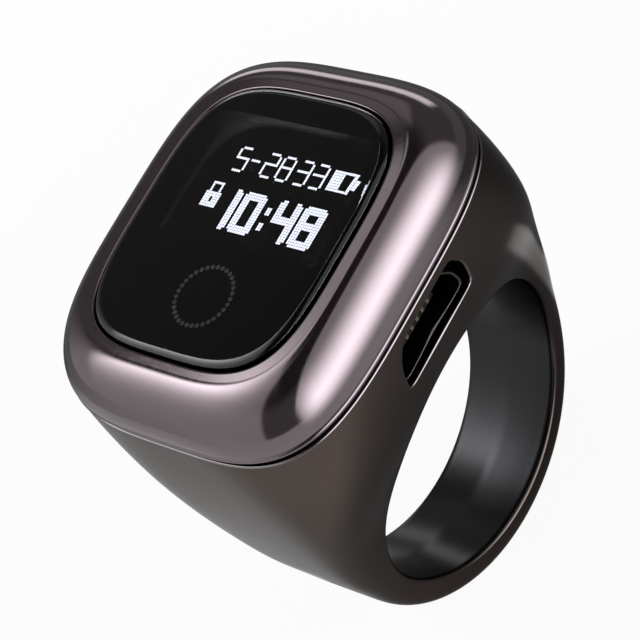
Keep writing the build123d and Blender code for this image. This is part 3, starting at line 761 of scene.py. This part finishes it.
# Strokes of each digit, the digits of two rows with their left columns, and cells: tall, wide, thick
SEGMENTS = {"0": "abcdef", "1": "bc", "2": "abged", "3": "abgcd", "4": "fgbc",
            "5": "afgcd", "6": "afgedc", "7": "abc", "8": "abcdefg", "9": "abcdfg"}
THIN_ROW = [("5", 5), ("2", 18), ("8", 25), ("3", 33), ("3", 40)]
BOLD_ROW = [("1", 7), ("0", 18), ("4", 34), ("8", 45)]
THIN_CELL = (10, 6, 1)
BOLD_CELL = (16, 10, 3)
BOLD_TOP = 16

# Blocks of dots from row to row and column to column, lit or dark
DASH = [(4, 5, 12, 16, True)]
COLON = [(20, 23, 30, 32, True), (26, 29, 30, 32, True)]
GAUGE = [(1, 9, 48, 57, True), (2, 8, 53, 56, False), (3, 7, 57, 58, True)]
PADLOCK = [(19, 25, 1, 8, True), (15, 19, 2, 7, True), (16, 19, 3, 6, False), (21, 23, 4, 5, False)]


def digit_dots(digit, tall, wide, thick):
    """Dots of a digit drawn with seven straight strokes, its outer corners left dark."""
    middle = (tall - thick) // 2
    strokes = {
        "a": np.s_[:thick, :],
        "b": np.s_[:middle + thick, -thick:],
        "c": np.s_[middle:, -thick:],
        "d": np.s_[-thick:, :],
        "e": np.s_[middle:, :thick],
        "f": np.s_[:middle + thick, :thick],
        "g": np.s_[middle:middle + thick, :],
    }
    dots = np.zeros((tall, wide), bool)
    for stroke in SEGMENTS[digit]:
        dots[strokes[stroke]] = True
    dots[[0, 0, -1, -1], [0, -1, 0, -1]] = False
    return dots


def screen_dots():
    """The lit field: a short row of thin numbers, a cell gauge, a padlock and a bold time."""
    dots = np.zeros(FIELD[::-1], bool)
    for row, cell, top in ((THIN_ROW, THIN_CELL, 0), (BOLD_ROW, BOLD_CELL, BOLD_TOP)):
        for digit, left in row:
            dots[top:top + cell[0], left:left + cell[1]] |= digit_dots(digit, *cell)
    for top, low, left, right, lit in DASH + COLON + GAUGE + PADLOCK:
        dots[top:low, left:right] = lit
    return dots


def lit_dots():
    """One small square for each lit dot, on the front of the display."""
    pitch = FIELD_X / FIELD[0]
    row, column = np.nonzero(screen_dots())
    centre = np.stack([(column + 0.5) * pitch - FIELD_X / 2, FIELD_TOP - (row + 0.5) * pitch], -1)
    corner = np.array([(-1, -1), (1, -1), (1, 1), (-1, 1)]) * pitch * DOT_FILL / 2
    flat = (centre[:, None] + corner).reshape(-1, 2)
    points = np.column_stack([flat, np.full(len(flat), OLED_HIGH.z + DOT_RISE)])
    return make_piece("lit_dots", [(points, np.arange(len(points)).reshape(-1, 4))])


# Finishes


def connect(tree, value, socket):
    """Feed a socket from an output, or set it to a constant."""
    if isinstance(value, bpy.types.NodeSocket):
        tree.links.new(value, socket)
    elif socket.type == "RGBA":
        socket.default_value = (*value, 1)
    else:
        socket.default_value = value


def feed(tree, node, **values):
    """Feed sockets of a node by name, with underscores for spaces."""
    for name, value in values.items():
        connect(tree, value, node.inputs[name.replace("_", " ")])


def add_node(tree, kind, settings=None, **values):
    """A new node with its settings, and with sockets fed by name."""
    node = tree.nodes.new("ShaderNode" + kind)
    for name, value in (settings or {}).items():
        setattr(node, name, value)
    feed(tree, node, **values)
    return node


def calculated(tree, operation, *values):
    """Result of one Math node on outputs and numbers."""
    node = add_node(tree, "Math", {"operation": operation})
    for socket, value in zip(node.inputs, values):
        connect(tree, value, socket)
    return node.outputs[0]


def joined(tree, operation, *values):
    """Outputs and numbers put together by one operation, such as a product or a sum."""
    result = values[0]
    for value in values[1:]:
        result = calculated(tree, operation, result, value)
    return result


def reach_along(tree, vector, axis=None):
    """How far a vector reaches along an axis, or its length where no axis is given."""
    node = add_node(tree, "VectorMath", {"operation": "DOT_PRODUCT" if axis else "LENGTH"})
    connect(tree, vector, node.inputs[0])
    if axis:
        connect(tree, axis, node.inputs[1])
    return node.outputs["Value"]


def smooth_step(tree, value, start, end):
    """Smooth step of a value, from 0 at start to 1 at end."""
    step = add_node(tree, "MapRange", {"interpolation_type": "SMOOTHSTEP"}, Value=value, From_Min=start,
                    From_Max=end)
    return step.outputs["Result"]


def spread(tree, factor, low, high):
    """Value between low and high by a factor output that lies mostly from 0.3 to 0.7."""
    reach = add_node(tree, "MapRange", Value=factor, From_Min=0.3, From_Max=0.7, To_Min=low, To_Max=high)
    return reach.outputs["Result"]


def mix_colours(tree, factor, first, second):
    """Colour between two, each a colour or an output, by a factor output."""
    mix = add_node(tree, "Mix", {"data_type": "RGBA"}, Factor=factor, A=first, B=second)
    return mix.outputs["Result"]


def object_place(tree):
    """The object's own coordinates."""
    return add_node(tree, "TexCoord").outputs["Object"]


def grain(tree, scale, detail=3.0, stretch=(1, 1, 1)):
    """Noise on Object coordinates, with a scale in features per metre."""
    mapping = add_node(tree, "Mapping", Vector=object_place(tree), Scale=stretch)
    noise = add_node(tree, "TexNoise", Vector=mapping.outputs["Vector"], Scale=scale, Detail=detail)
    return noise.outputs["Fac"]


def add_bump(tree, shader, height, distance):
    """Bump of a depth in metres on a shader."""
    bump = add_node(tree, "Bump", Height=height, Distance=distance)
    feed(tree, shader, Normal=bump.outputs["Normal"])


def new_finish(name):
    """A new node material, its node tree and its main shader."""
    material = bpy.data.materials.new(name)
    material.use_nodes = True
    tree = material.node_tree
    return material, tree, tree.nodes["Principled BSDF"]


def toned(tone, factor):
    """A tone, and the same tone times a factor."""
    return tone, [part * factor for part in tone]


def plain_finish(name, colours, scale, roughness, bump, metallic=0.0, stretch=(1, 1, 1), gloss=0.5):
    """Finish with a two-colour grain, uneven roughness and a bump at one scale."""
    material, tree, shader = new_finish(name)
    noise = grain(tree, scale, stretch=stretch)
    feed(tree, shader, Metallic=metallic, Specular_IOR_Level=gloss,
         Base_Color=mix_colours(tree, noise, *colours), Roughness=spread(tree, noise, *roughness))
    add_bump(tree, shader, noise, bump)
    return material


def polish(name, tone, drift_tone, edge_tint, roughness):
    """Dark mirror plating: faint drifts of tone, soft polishing waves and a little fine haze."""
    material, tree, shader = new_finish(name)
    drift = grain(tree, 90.0, 2.0)
    haze = grain(tree, 2600.0, 4.0)
    feed(tree, shader, Metallic=1.0, Specular_Tint=(edge_tint, edge_tint, edge_tint),
         Base_Color=mix_colours(tree, drift, tone, drift_tone), Roughness=spread(tree, haze, *roughness))
    add_bump(tree, shader, drift, 0.012 * MM)
    return material, tree, shader


BORE_EDGE = (10.45 * MM, 10.27 * MM)


def bore_share(tree):
    """1 in the finger hole and 0 outside it, by the distance from the finger axis."""
    flat = add_node(tree, "VectorMath", {"operation": "MULTIPLY"})
    connect(tree, object_place(tree), flat.inputs[0])
    connect(tree, (0, 1, 1), flat.inputs[1])
    return smooth_step(tree, reach_along(tree, flat.outputs["Vector"]), *BORE_EDGE)


def named_share(tree, name):
    """A point attribute of the mesh as a factor."""
    return add_node(tree, "Attribute", {"attribute_name": name}).outputs["Fac"]


def lay_over(tree, shader, share, tone, roughness):
    """Blend another tone and roughness over a shader's own by a factor."""
    own_tone = shader.inputs["Base Color"].links[0].from_socket
    own_roughness = shader.inputs["Roughness"].links[0].from_socket
    mix = add_node(tree, "Mix", Factor=share, A=own_roughness, B=roughness)
    feed(tree, shader, Base_Color=mix_colours(tree, share, own_tone, tone), Roughness=mix.outputs["Result"])


def body_polish(finishes):
    """The body's plating, with painted highlights on its edges and painted shade in the charging slot.

    Its tone is darkened as painted shade for the floor that it mirrors, and the satin finger hole's
    tone more so, as painted shade inside the hole.
    """
    material, tree, shader = polish("body_polish", finishes.body, finishes.body_drift, edge_tint=0.6,
                                    roughness=(0.12, 0.18))
    # Painted highlight along the rounded edges
    lay_over(tree, shader, named_share(tree, "edge"), finishes.painted_edge_highlight, roughness=0.1)
    # Painted shade inside the charging slot
    lay_over(tree, shader, named_share(tree, "slot_shade"), finishes.slot_shade, roughness=0.5)
    # Satin finger hole, darkened as painted shade
    lay_over(tree, shader, bore_share(tree), finishes.bore, roughness=0.26)
    return material


def bezel_polish(finishes):
    """The bezel's plating, with a copper-brown tone on the wall round the lens."""
    material, tree, shader = polish("bezel_polish", finishes.bezel, finishes.bezel_drift, edge_tint=0.8,
                                    roughness=(0.07, 0.12))
    lay_over(tree, shader, named_share(tree, "opening"), finishes.opening, roughness=0.2)
    return material


def lens_finish(finishes):
    """Smoked lens glass with the faintest smear in its polish."""
    material, tree, shader = new_finish("lens_glass")
    feed(tree, shader, IOR=1.5, Transmission_Weight=1.0, Base_Color=finishes.lens_tint,
         Roughness=spread(tree, grain(tree, 260.0), 0.0, 0.02))
    return material


def lit_dot_finish(finishes):
    """Glowing dots, a little uneven in brightness as the display's cells are."""
    material, tree, shader = new_finish("lit_dots")
    glow = mix_colours(tree, grain(tree, 900.0), *toned(finishes.lit_dot, 0.86))
    feed(tree, shader, Base_Color=(0.02, 0.02, 0.02), Roughness=0.5, Emission_Color=glow,
         Emission_Strength=DOT_GLOW)
    return material


def board_finish():
    """Solder mask with a grid of fine traces under it."""
    material, tree, shader = new_finish("board_mask")
    trace = add_node(tree, "TexBrick", Vector=object_place(tree), Color1=(0.012, 0.055, 0.02),
                     Color2=(0.016, 0.07, 0.026), Mortar=(0.03, 0.12, 0.05), Scale=900.0, Mortar_Size=0.03)
    feed(tree, shader, Base_Color=trace.outputs["Color"],
         Roughness=spread(tree, grain(tree, 1500.0), 0.3, 0.42))
    add_bump(tree, shader, trace.outputs["Fac"], 0.01 * MM)
    return material


def ribbon_finish():
    """Amber film over parallel copper traces that run along the ribbon."""
    material, tree, shader = new_finish("ribbon_film")
    wave = add_node(tree, "TexWave", {"bands_direction": "X"}, Vector=object_place(tree), Scale=1000.0,
                    Distortion=0.0)
    tone = mix_colours(tree, wave.outputs["Fac"], (0.32, 0.13, 0.02), (0.45, 0.22, 0.06))
    feed(tree, shader, Base_Color=tone, Roughness=spread(tree, grain(tree, 700.0), 0.25, 0.4))
    return material


def make_finishes(colours):
    """Every finish of the ring, by name."""
    return {
        "bezel": bezel_polish(colours),
        "body": body_polish(colours),
        "glass": lens_finish(colours),
        "mask": plain_finish("lens_mask", toned(colours.mask_black, 1.2),
                             900.0, (0.6, 0.75), 0.001 * MM, gloss=0.0),
        "dots": lit_dot_finish(colours),
        "print": plain_finish("print_ink", toned(colours.print_grey, 0.8),
                              3000.0, (0.5, 0.65), 0.002 * MM, gloss=0.0),
        "plastic": plain_finish("black_plastic", toned(colours.black_plastic, 1.5),
                                1800.0, (0.38, 0.55), 0.012 * MM, gloss=0.0),
        "rubber": plain_finish("seal_rubber", toned(colours.seal_rubber, 1.6),
                               1200.0, (0.7, 0.9), 0.02 * MM),
        "screen": plain_finish("display_glass", ((0.002, 0.002, 0.003), (0.003, 0.003, 0.004)),
                               400.0, (0.08, 0.14), 0.001 * MM, gloss=0.02),
        "silicon": plain_finish("bare_silicon", ((0.03, 0.032, 0.04), (0.045, 0.046, 0.055)),
                                2400.0, (0.1, 0.2), 0.002 * MM, metallic=0.4),
        "ribbon": ribbon_finish(),
        "board": board_finish(),
        "chip": plain_finish("chip_resin", ((0.02, 0.02, 0.021), (0.03, 0.03, 0.031)),
                             2600.0, (0.5, 0.7), 0.012 * MM),
        "ceramic": plain_finish("ceramic", ((0.34, 0.27, 0.2), (0.42, 0.34, 0.26)),
                                2000.0, (0.45, 0.6), 0.008 * MM),
        "steel": plain_finish("plain_steel", toned(colours.steel, 0.86),
                              1500.0, (0.2, 0.34), 0.004 * MM, metallic=1.0, stretch=(1, 6, 1)),
        # Painted shade: a dark copy of the steel, for the socket shell in the shade of the charging slot
        "painted_shade_steel": plain_finish("painted_shade_steel", ((0.05, 0.048, 0.046), (0.036, 0.035, 0.034)),
                                   1500.0, (0.22, 0.36), 0.004 * MM, metallic=1.0, stretch=(6, 1, 1)),
        "gold": plain_finish("gold_plate", ((0.13, 0.108, 0.07), (0.095, 0.08, 0.055)),
                             2200.0, (0.3, 0.45), 0.003 * MM, metallic=1.0),
        "foil": plain_finish("cell_foil", ((0.55, 0.55, 0.56), (0.46, 0.46, 0.48)),
                             320.0, (0.25, 0.42), 0.08 * MM, metallic=0.8),
        "magnet": plain_finish("magnet_grey", ((0.18, 0.18, 0.19), (0.14, 0.14, 0.15)),
                               1600.0, (0.35, 0.5), 0.01 * MM, metallic=0.7),
    }


FINISHES = {}
FINISHED_NODES = {
    "rubber": "seam_gasket lens_seal battery_pad motor_pad",
    "plastic": "key_carrier display_frame fpc_connector switch_base switch_plunger usb_tongue motor_rotor",
    "screen": "oled_glass",
    "silicon": "oled_driver",
    "ribbon": "oled_flex",
    "board": "main_pcb",
    "chip": "soc_chip charger_chip",
    "ceramic": "passives antenna",
    "steel": "crystal frame_screws switch_dome switch_cover battery_tabs motor_base motor_shaft motor_can",
    "foil": "battery",
    "magnet": "motor_magnet motor_weight",
}
FINISH_OF = {node: finish for finish, nodes in FINISHED_NODES.items() for node in nodes.split()}


def dress(*names):
    """Give CAD nodes their finishes."""
    for name in names:
        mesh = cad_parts[name].data
        mesh.materials.clear()
        mesh.materials.append(FINISHES[FINISH_OF[name]])


# Stage


CAMERA_AT = Vector((103.652, -45.651, 127.168)) * MM
CAMERA_RIGHT = Vector((0.73666, 0.4785, -0.47788))
CAMERA_DOWN = Vector((0.20603, -0.83185, -0.51534))
UP = (0, 0, 1)
LIT_SIDE = (0.45, -0.89, 0)

# The upper light fades from a centre, by a reach in radians and a power
UPPER_GLOW = ((-0.642, -0.022, 0.766), 0.297, 1.3)

# Each edge of a light is an axis and two angles in degrees over the plane across it, outside and inside
HORIZON = (UP, -3, 1)
UPPER_EDGES = [((0.441, -0.668, 0.600), 3, 10), ((-0.688, -0.720, -0.088), -2, 2)]
UPPER_VEIL = [(UP, 46.8, 50.5), (UP, 58, 54), ((-0.743, -0.669, 0), -3, 3), ((0.139, 0.990, 0), -5, 5)]
SIDE_EDGES = [((0.654, 0.681, -0.331), -1.5, 1.5), ((0.855, -0.494, 0.160), -3, 3),
              ((0.588, 0.809, 0), -4, 4)]
SIDE_FADES = [(UP, 63, 4), (UP, -24, 12), ((0.438, 0.899, 0), -14, 14), ((0.663, -0.749, 0), -16.5, 16.5)]
SIDE_VEIL = (UP, -10, 4)
FRONT_EDGES = [((0.087, -0.996, 0), -15, 15), ((-0.978, -0.208, 0), -3, 3)]
BACK_EDGES = [(UP, 12, 7), ((-0.966, -0.259, 0), -4, 4), ((0.5, 0.866, 0), -4, 4)]
BACK_VEIL = [(UP, 19, 26), (UP, 47, 41), ((-0.891, -0.454, 0), -4, 4), ((0.559, 0.829, 0), -4, 4)]
DARK_CARD = [(UP, 35.5, 38.5), (UP, 49, 46.8), ((-0.559, -0.829, 0), -3, 1), ((0.276, 0.961, 0), -2, 2)]
CEILING_EDGE = (UP, 35, 55)
TABLE_EDGE = (LIT_SIDE, -30, 40)

# Each edge on the floor is an axis, or None for outwards, and two places along it in millimetres
FLOOR_REACH = 105 * MM
FLOOR_STEPS = 64
FLOOR_RINGS = 12
FLOOR_WHITE = 0.92
# Light and shade painted on the floor, seen by metal only: levels of the painted shade behind the ring and of
# the painted shadow under it, then the edges of the painted pool of light on the lit side, of the painted
# shadow and of two painted bright patches by the ring
FLOOR_BACK = 0.15
FLOOR_UNDER = 0.3
FLOOR_RIM = (None, 42, 99.75)
FLOOR_LIT = (LIT_SIDE, -27, 18)
FLOOR_CLEAR = (None, 13, 33)
PAINTED_LIGHT_PATCHES = [
    [((-1, 0, 0), 7, 11), ((1, 0, 0), -30, -20), ((0, -1, 0), -11, -8), ((0, 1, 0), -15, -9)],
    [((0, 1, 0), 16.8, 18), ((0, -1, 0), -22, -20.3), ((1, 0, 0), -8, -3), ((-1, 0, 0), -9, -6.5)],
]


def place_ramp(tree, axis, start, end):
    """Smooth step from 0 to 1 between two places on the floor, along an axis or outwards."""
    return smooth_step(tree, reach_along(tree, object_place(tree), axis), start * MM, end * MM)


def raised(tree, share, low):
    """Value from low to 1 by a factor output."""
    return joined(tree, "ADD", joined(tree, "MULTIPLY", share, 1 - low), low)


def paper_finish(tone):
    """White paper. The eye sees most of it as plain white, more so outwards, which lifts the shadow.

    Metal sees light and shade painted on it: a painted pool of light on the lit side, two painted bright
    patches by the ring, painted shade behind the ring and a painted shadow under it.
    """
    material = plain_finish("floor_paper", toned(tone, 0.985), 60.0, (0.7, 0.8), 0.0, gloss=0.0)
    tree = material.node_tree
    path = add_node(tree, "LightPath").outputs
    metal = path["Is Glossy Ray"]
    eye = joined(tree, "MAXIMUM", path["Is Camera Ray"], path["Is Transmission Ray"])
    seen = joined(tree, "MULTIPLY", eye, raised(tree, place_ramp(tree, *FLOOR_RIM), FLOOR_WHITE))
    share = joined(tree, "MAXIMUM", metal, seen)
    # Painted pool of light on the lit side, painted shadow under the ring and painted bright patches, for
    # metal only
    lit = raised(tree, place_ramp(tree, *FLOOR_LIT), FLOOR_BACK)
    clear = raised(tree, place_ramp(tree, *FLOOR_CLEAR), FLOOR_UNDER)
    patches = [joined(tree, "MULTIPLY", *[place_ramp(tree, *edge) for edge in edges])
               for edges in PAINTED_LIGHT_PATCHES]
    bright = joined(tree, "MAXIMUM", joined(tree, "MULTIPLY", lit, clear), *patches)
    dim = joined(tree, "MULTIPLY", metal, joined(tree, "SUBTRACT", 1.0, bright))
    white = add_node(tree, "Emission", Strength=joined(tree, "SUBTRACT", 1.0, dim))
    mix = add_node(tree, "MixShader")
    for socket, part in zip(mix.inputs, (share, tree.nodes["Principled BSDF"].outputs[0], white.outputs[0])):
        connect(tree, part, socket)
    feed(tree, tree.nodes["Material Output"], Surface=mix.outputs[0])
    return material


def studio_floor(tone):
    """Round floor under the ring, in rings that widen outwards."""
    angle = even_angles(FLOOR_STEPS)
    radius = FLOOR_REACH * np.linspace(0, 1, FLOOR_RINGS)[:, None] ** 3
    points = np.stack([radius * np.cos(angle), radius * np.sin(angle),
                       CAD_BOX[0][2] + 0 * radius * angle], -1)
    floor = make_piece("floor", [patch(points, close_columns=True)])
    floor.data.materials.append(paper_finish(tone))
    if floor.data.polygons[0].normal.z < 0:
        floor.data.flip_normals()


def ray_ramp(tree, ray, axis, start, end):
    """Smooth step from 0 to 1 as a ray turns from one angle to another over the plane across an axis."""
    start, end = (math.sin(math.radians(angle)) for angle in (start, end))
    return smooth_step(tree, reach_along(tree, ray, Vector(axis).normalized()), start, end)


def ray_glow(tree, ray, centre, reach, power):
    """exp(-(angle / reach)^power) of a ray's angle from a centre."""
    facing = joined(tree, "MINIMUM", reach_along(tree, ray, Vector(centre).normalized()), 1.0)
    share = joined(tree, "DIVIDE", calculated(tree, "ARCCOSINE", facing), reach)
    fall = joined(tree, "MULTIPLY", joined(tree, "POWER", share, power), -1.0)
    return calculated(tree, "EXPONENT", fall)


def studio_world(stage):
    """Room light by direction: a dim room, a glow over the far side, a side light, a wall and a low strip."""
    world = bpy.data.worlds.new("studio_room")
    world.use_nodes = True
    tree = world.node_tree
    ray = add_node(tree, "TexCoord").outputs["Generated"]

    def within(edges, *factors):
        """Product of the ramps over some edges and of other factors."""
        return joined(tree, "MULTIPLY", *[ray_ramp(tree, ray, *edge) for edge in edges], *factors)

    side = joined(tree, "ADD", within(SIDE_FADES, stage.side_light), within([SIDE_VEIL], stage.side_veil))
    lights = joined(
        tree, "ADD",
        within(UPPER_EDGES, ray_glow(tree, ray, *UPPER_GLOW), stage.upper_light),
        within(SIDE_EDGES, side),
        within(UPPER_VEIL, stage.upper_veil),
        within(BACK_VEIL, stage.back_veil),
        within([*FRONT_EDGES, HORIZON], stage.front_wall),
        within([*BACK_EDGES, HORIZON], stage.back_strip))
    lights = joined(tree, "MULTIPLY", lights, joined(tree, "SUBTRACT", 1.0, within(DARK_CARD)))
    room = mix_colours(tree, within([CEILING_EDGE]), stage.room, stage.ceiling)
    table = mix_colours(tree, within([TABLE_EDGE]), stage.table, stage.table_front)
    room = mix_colours(tree, within([HORIZON]), table, room)
    light = add_node(tree, "Mix", {"data_type": "RGBA", "blend_type": "ADD"}, Factor=1.0, A=room, B=lights)
    eye = add_node(tree, "LightPath").outputs["Is Camera Ray"]
    seen = mix_colours(tree, eye, light.outputs["Result"], (1, 1, 1))
    feed(tree, tree.nodes["Background"], Color=seen)
    bpy.context.scene.world = world


def studio_camera(stage):
    """Camera where the photograph was taken from."""
    data = bpy.data.cameras.new("photo_camera")
    data.lens = stage.lens_length
    data.clip_start = 0.01
    camera = bpy.data.objects.new("photo_camera", data)
    forward = CAMERA_RIGHT.cross(CAMERA_DOWN).normalized()
    turn = Matrix((CAMERA_RIGHT, -CAMERA_DOWN, -forward)).transposed()
    camera.matrix_world = Matrix.Translation(CAMERA_AT) @ turn.to_4x4()
    bpy.context.scene.collection.objects.link(camera)
    bpy.context.scene.camera = camera


# Operators


class RING_OT_finishes(bpy.types.Operator):
    """Make the finishes that the other steps use"""
    bl_idname = "tasbih_ring.finishes"
    bl_label = "Finishes"

    def execute(self, context):
        FINISHES.update(make_finishes(context.scene.ring_finishes))
        return {"FINISHED"}


class RING_OT_body(bpy.types.Operator):
    """Build the polished ring body with its finger hole and charging slot"""
    bl_idname = "tasbih_ring.body"
    bl_label = "Ring body"

    def execute(self, context):
        piece = ring_skin(context.scene.ring_sizes)
        set_on(piece, "ring", "gunmetal", FINISHES["body"], "ring_body")
        return {"FINISHED"}


class RING_OT_bezel(bpy.types.Operator):
    """Build the rolled bezel and finish the gasket in the seam"""
    bl_idname = "tasbih_ring.bezel"
    bl_label = "Bezel and seam"

    def execute(self, context):
        piece = bezel_shell(context.scene.ring_sizes)
        set_on(piece, "ring", "gunmetal", FINISHES["bezel"], "bezel_cover")
        dress("seam_gasket")
        return {"FINISHED"}


class RING_OT_lens(bpy.types.Operator):
    """Build the lens, which is the count key, with the print under it, and finish its carrier"""
    bl_idname = "tasbih_ring.lens"
    bl_label = "Lens key"

    def execute(self, context):
        sizes = context.scene.ring_sizes
        set_on(lens_glass(sizes), "key", "lens_glass", FINISHES["glass"], "lens")
        set_on(lens_mask(), "key", "black_plastic", FINISHES["mask"])
        set_on(bead_print(sizes), "key", "lens_glass", FINISHES["print"])
        dress("key_carrier", "lens_seal")
        return {"FINISHED"}


class RING_OT_display(bpy.types.Operator):
    """Light the dots and finish the display, its driver, ribbon and connector"""
    bl_idname = "tasbih_ring.display"
    bl_label = "Display"

    def execute(self, context):
        set_on(lit_dots(), "ring", "display_glass", FINISHES["dots"])
        dress("oled_glass", "oled_driver", "oled_flex", "fpc_connector")
        return {"FINISHED"}


class RING_OT_socket(bpy.types.Operator):
    """Build the charging socket's shell and finish its tongue and contacts"""
    bl_idname = "tasbih_ring.socket"
    bl_label = "Charging socket"

    def execute(self, context):
        # The socket shell is steel, finished with its dark copy as painted shade
        set_on(socket_tube(), "ring", "plain_steel", FINISHES["painted_shade_steel"], "usb_shell")
        set_on(contact_strips(), "ring", "gold_plate", FINISHES["gold"], "usb_contacts")
        dress("usb_tongue")
        return {"FINISHED"}


INNER_GROUPS = [
    "display_frame frame_screws",
    "main_pcb soc_chip crystal charger_chip passives antenna",
    "switch_base switch_dome switch_plunger switch_cover",
    "battery battery_pad battery_tabs",
    "motor_pad motor_base motor_magnet motor_shaft motor_rotor motor_weight motor_can",
]


class RING_OT_inside(bpy.types.Operator):
    """Finish one group of the pieces inside the ring"""
    bl_idname = "tasbih_ring.inside"
    bl_label = "Inner pieces"

    nodes: StringProperty(name="Nodes", description="Names of the nodes, with spaces between",
                          default=" ".join(INNER_GROUPS))

    def execute(self, context):
        dress(*self.nodes.split())
        return {"FINISHED"}


class RING_OT_stage(bpy.types.Operator):
    """Set up the floor, the room light and the camera"""
    bl_idname = "tasbih_ring.stage"
    bl_label = "Stage"

    def execute(self, context):
        stage = context.scene.ring_stage
        studio_floor(stage.floor)
        studio_world(stage)
        studio_camera(stage)
        context.scene.view_settings.view_transform = "Standard"
        return {"FINISHED"}


class RING_PT_panel(bpy.types.Panel):
    """Steps that build the ring, with its sizes and colours"""
    bl_idname = "RING_PT_panel"
    bl_label = "Tasbih Ring"
    bl_space_type = "VIEW_3D"
    bl_region_type = "UI"
    bl_category = "Tasbih Ring"

    def draw(self, context):
        for step in STEPS:
            self.layout.operator(step.bl_idname)
        for group, settings in SETTINGS.items():
            box = self.layout.box()
            for name in settings.__annotations__:
                box.prop(getattr(context.scene, group), name)


SETTINGS = {"ring_sizes": RingSizes, "ring_finishes": RingFinishes, "ring_stage": RingStage}
STEPS = [RING_OT_finishes, RING_OT_body, RING_OT_bezel, RING_OT_lens, RING_OT_display, RING_OT_socket,
         RING_OT_inside, RING_OT_stage]
CLASSES = [*SETTINGS.values(), *STEPS, RING_PT_panel]


def register():
    for cls in CLASSES:
        bpy.utils.register_class(cls)
    for group, settings in SETTINGS.items():
        setattr(bpy.types.Scene, group, PointerProperty(type=settings))


def unregister():
    for group in SETTINGS:
        delattr(bpy.types.Scene, group)
    for cls in reversed(CLASSES):
        bpy.utils.unregister_class(cls)


def main():
    """Register and run the steps in order."""
    register()
    ring = bpy.ops.tasbih_ring
    ring.finishes()
    ring.body()
    ring.bezel()
    ring.lens()
    ring.display()
    ring.socket()
    for group in INNER_GROUPS:
        ring.inside(nodes=group)
    ring.stage()


if __name__ == "__main__":
    main()
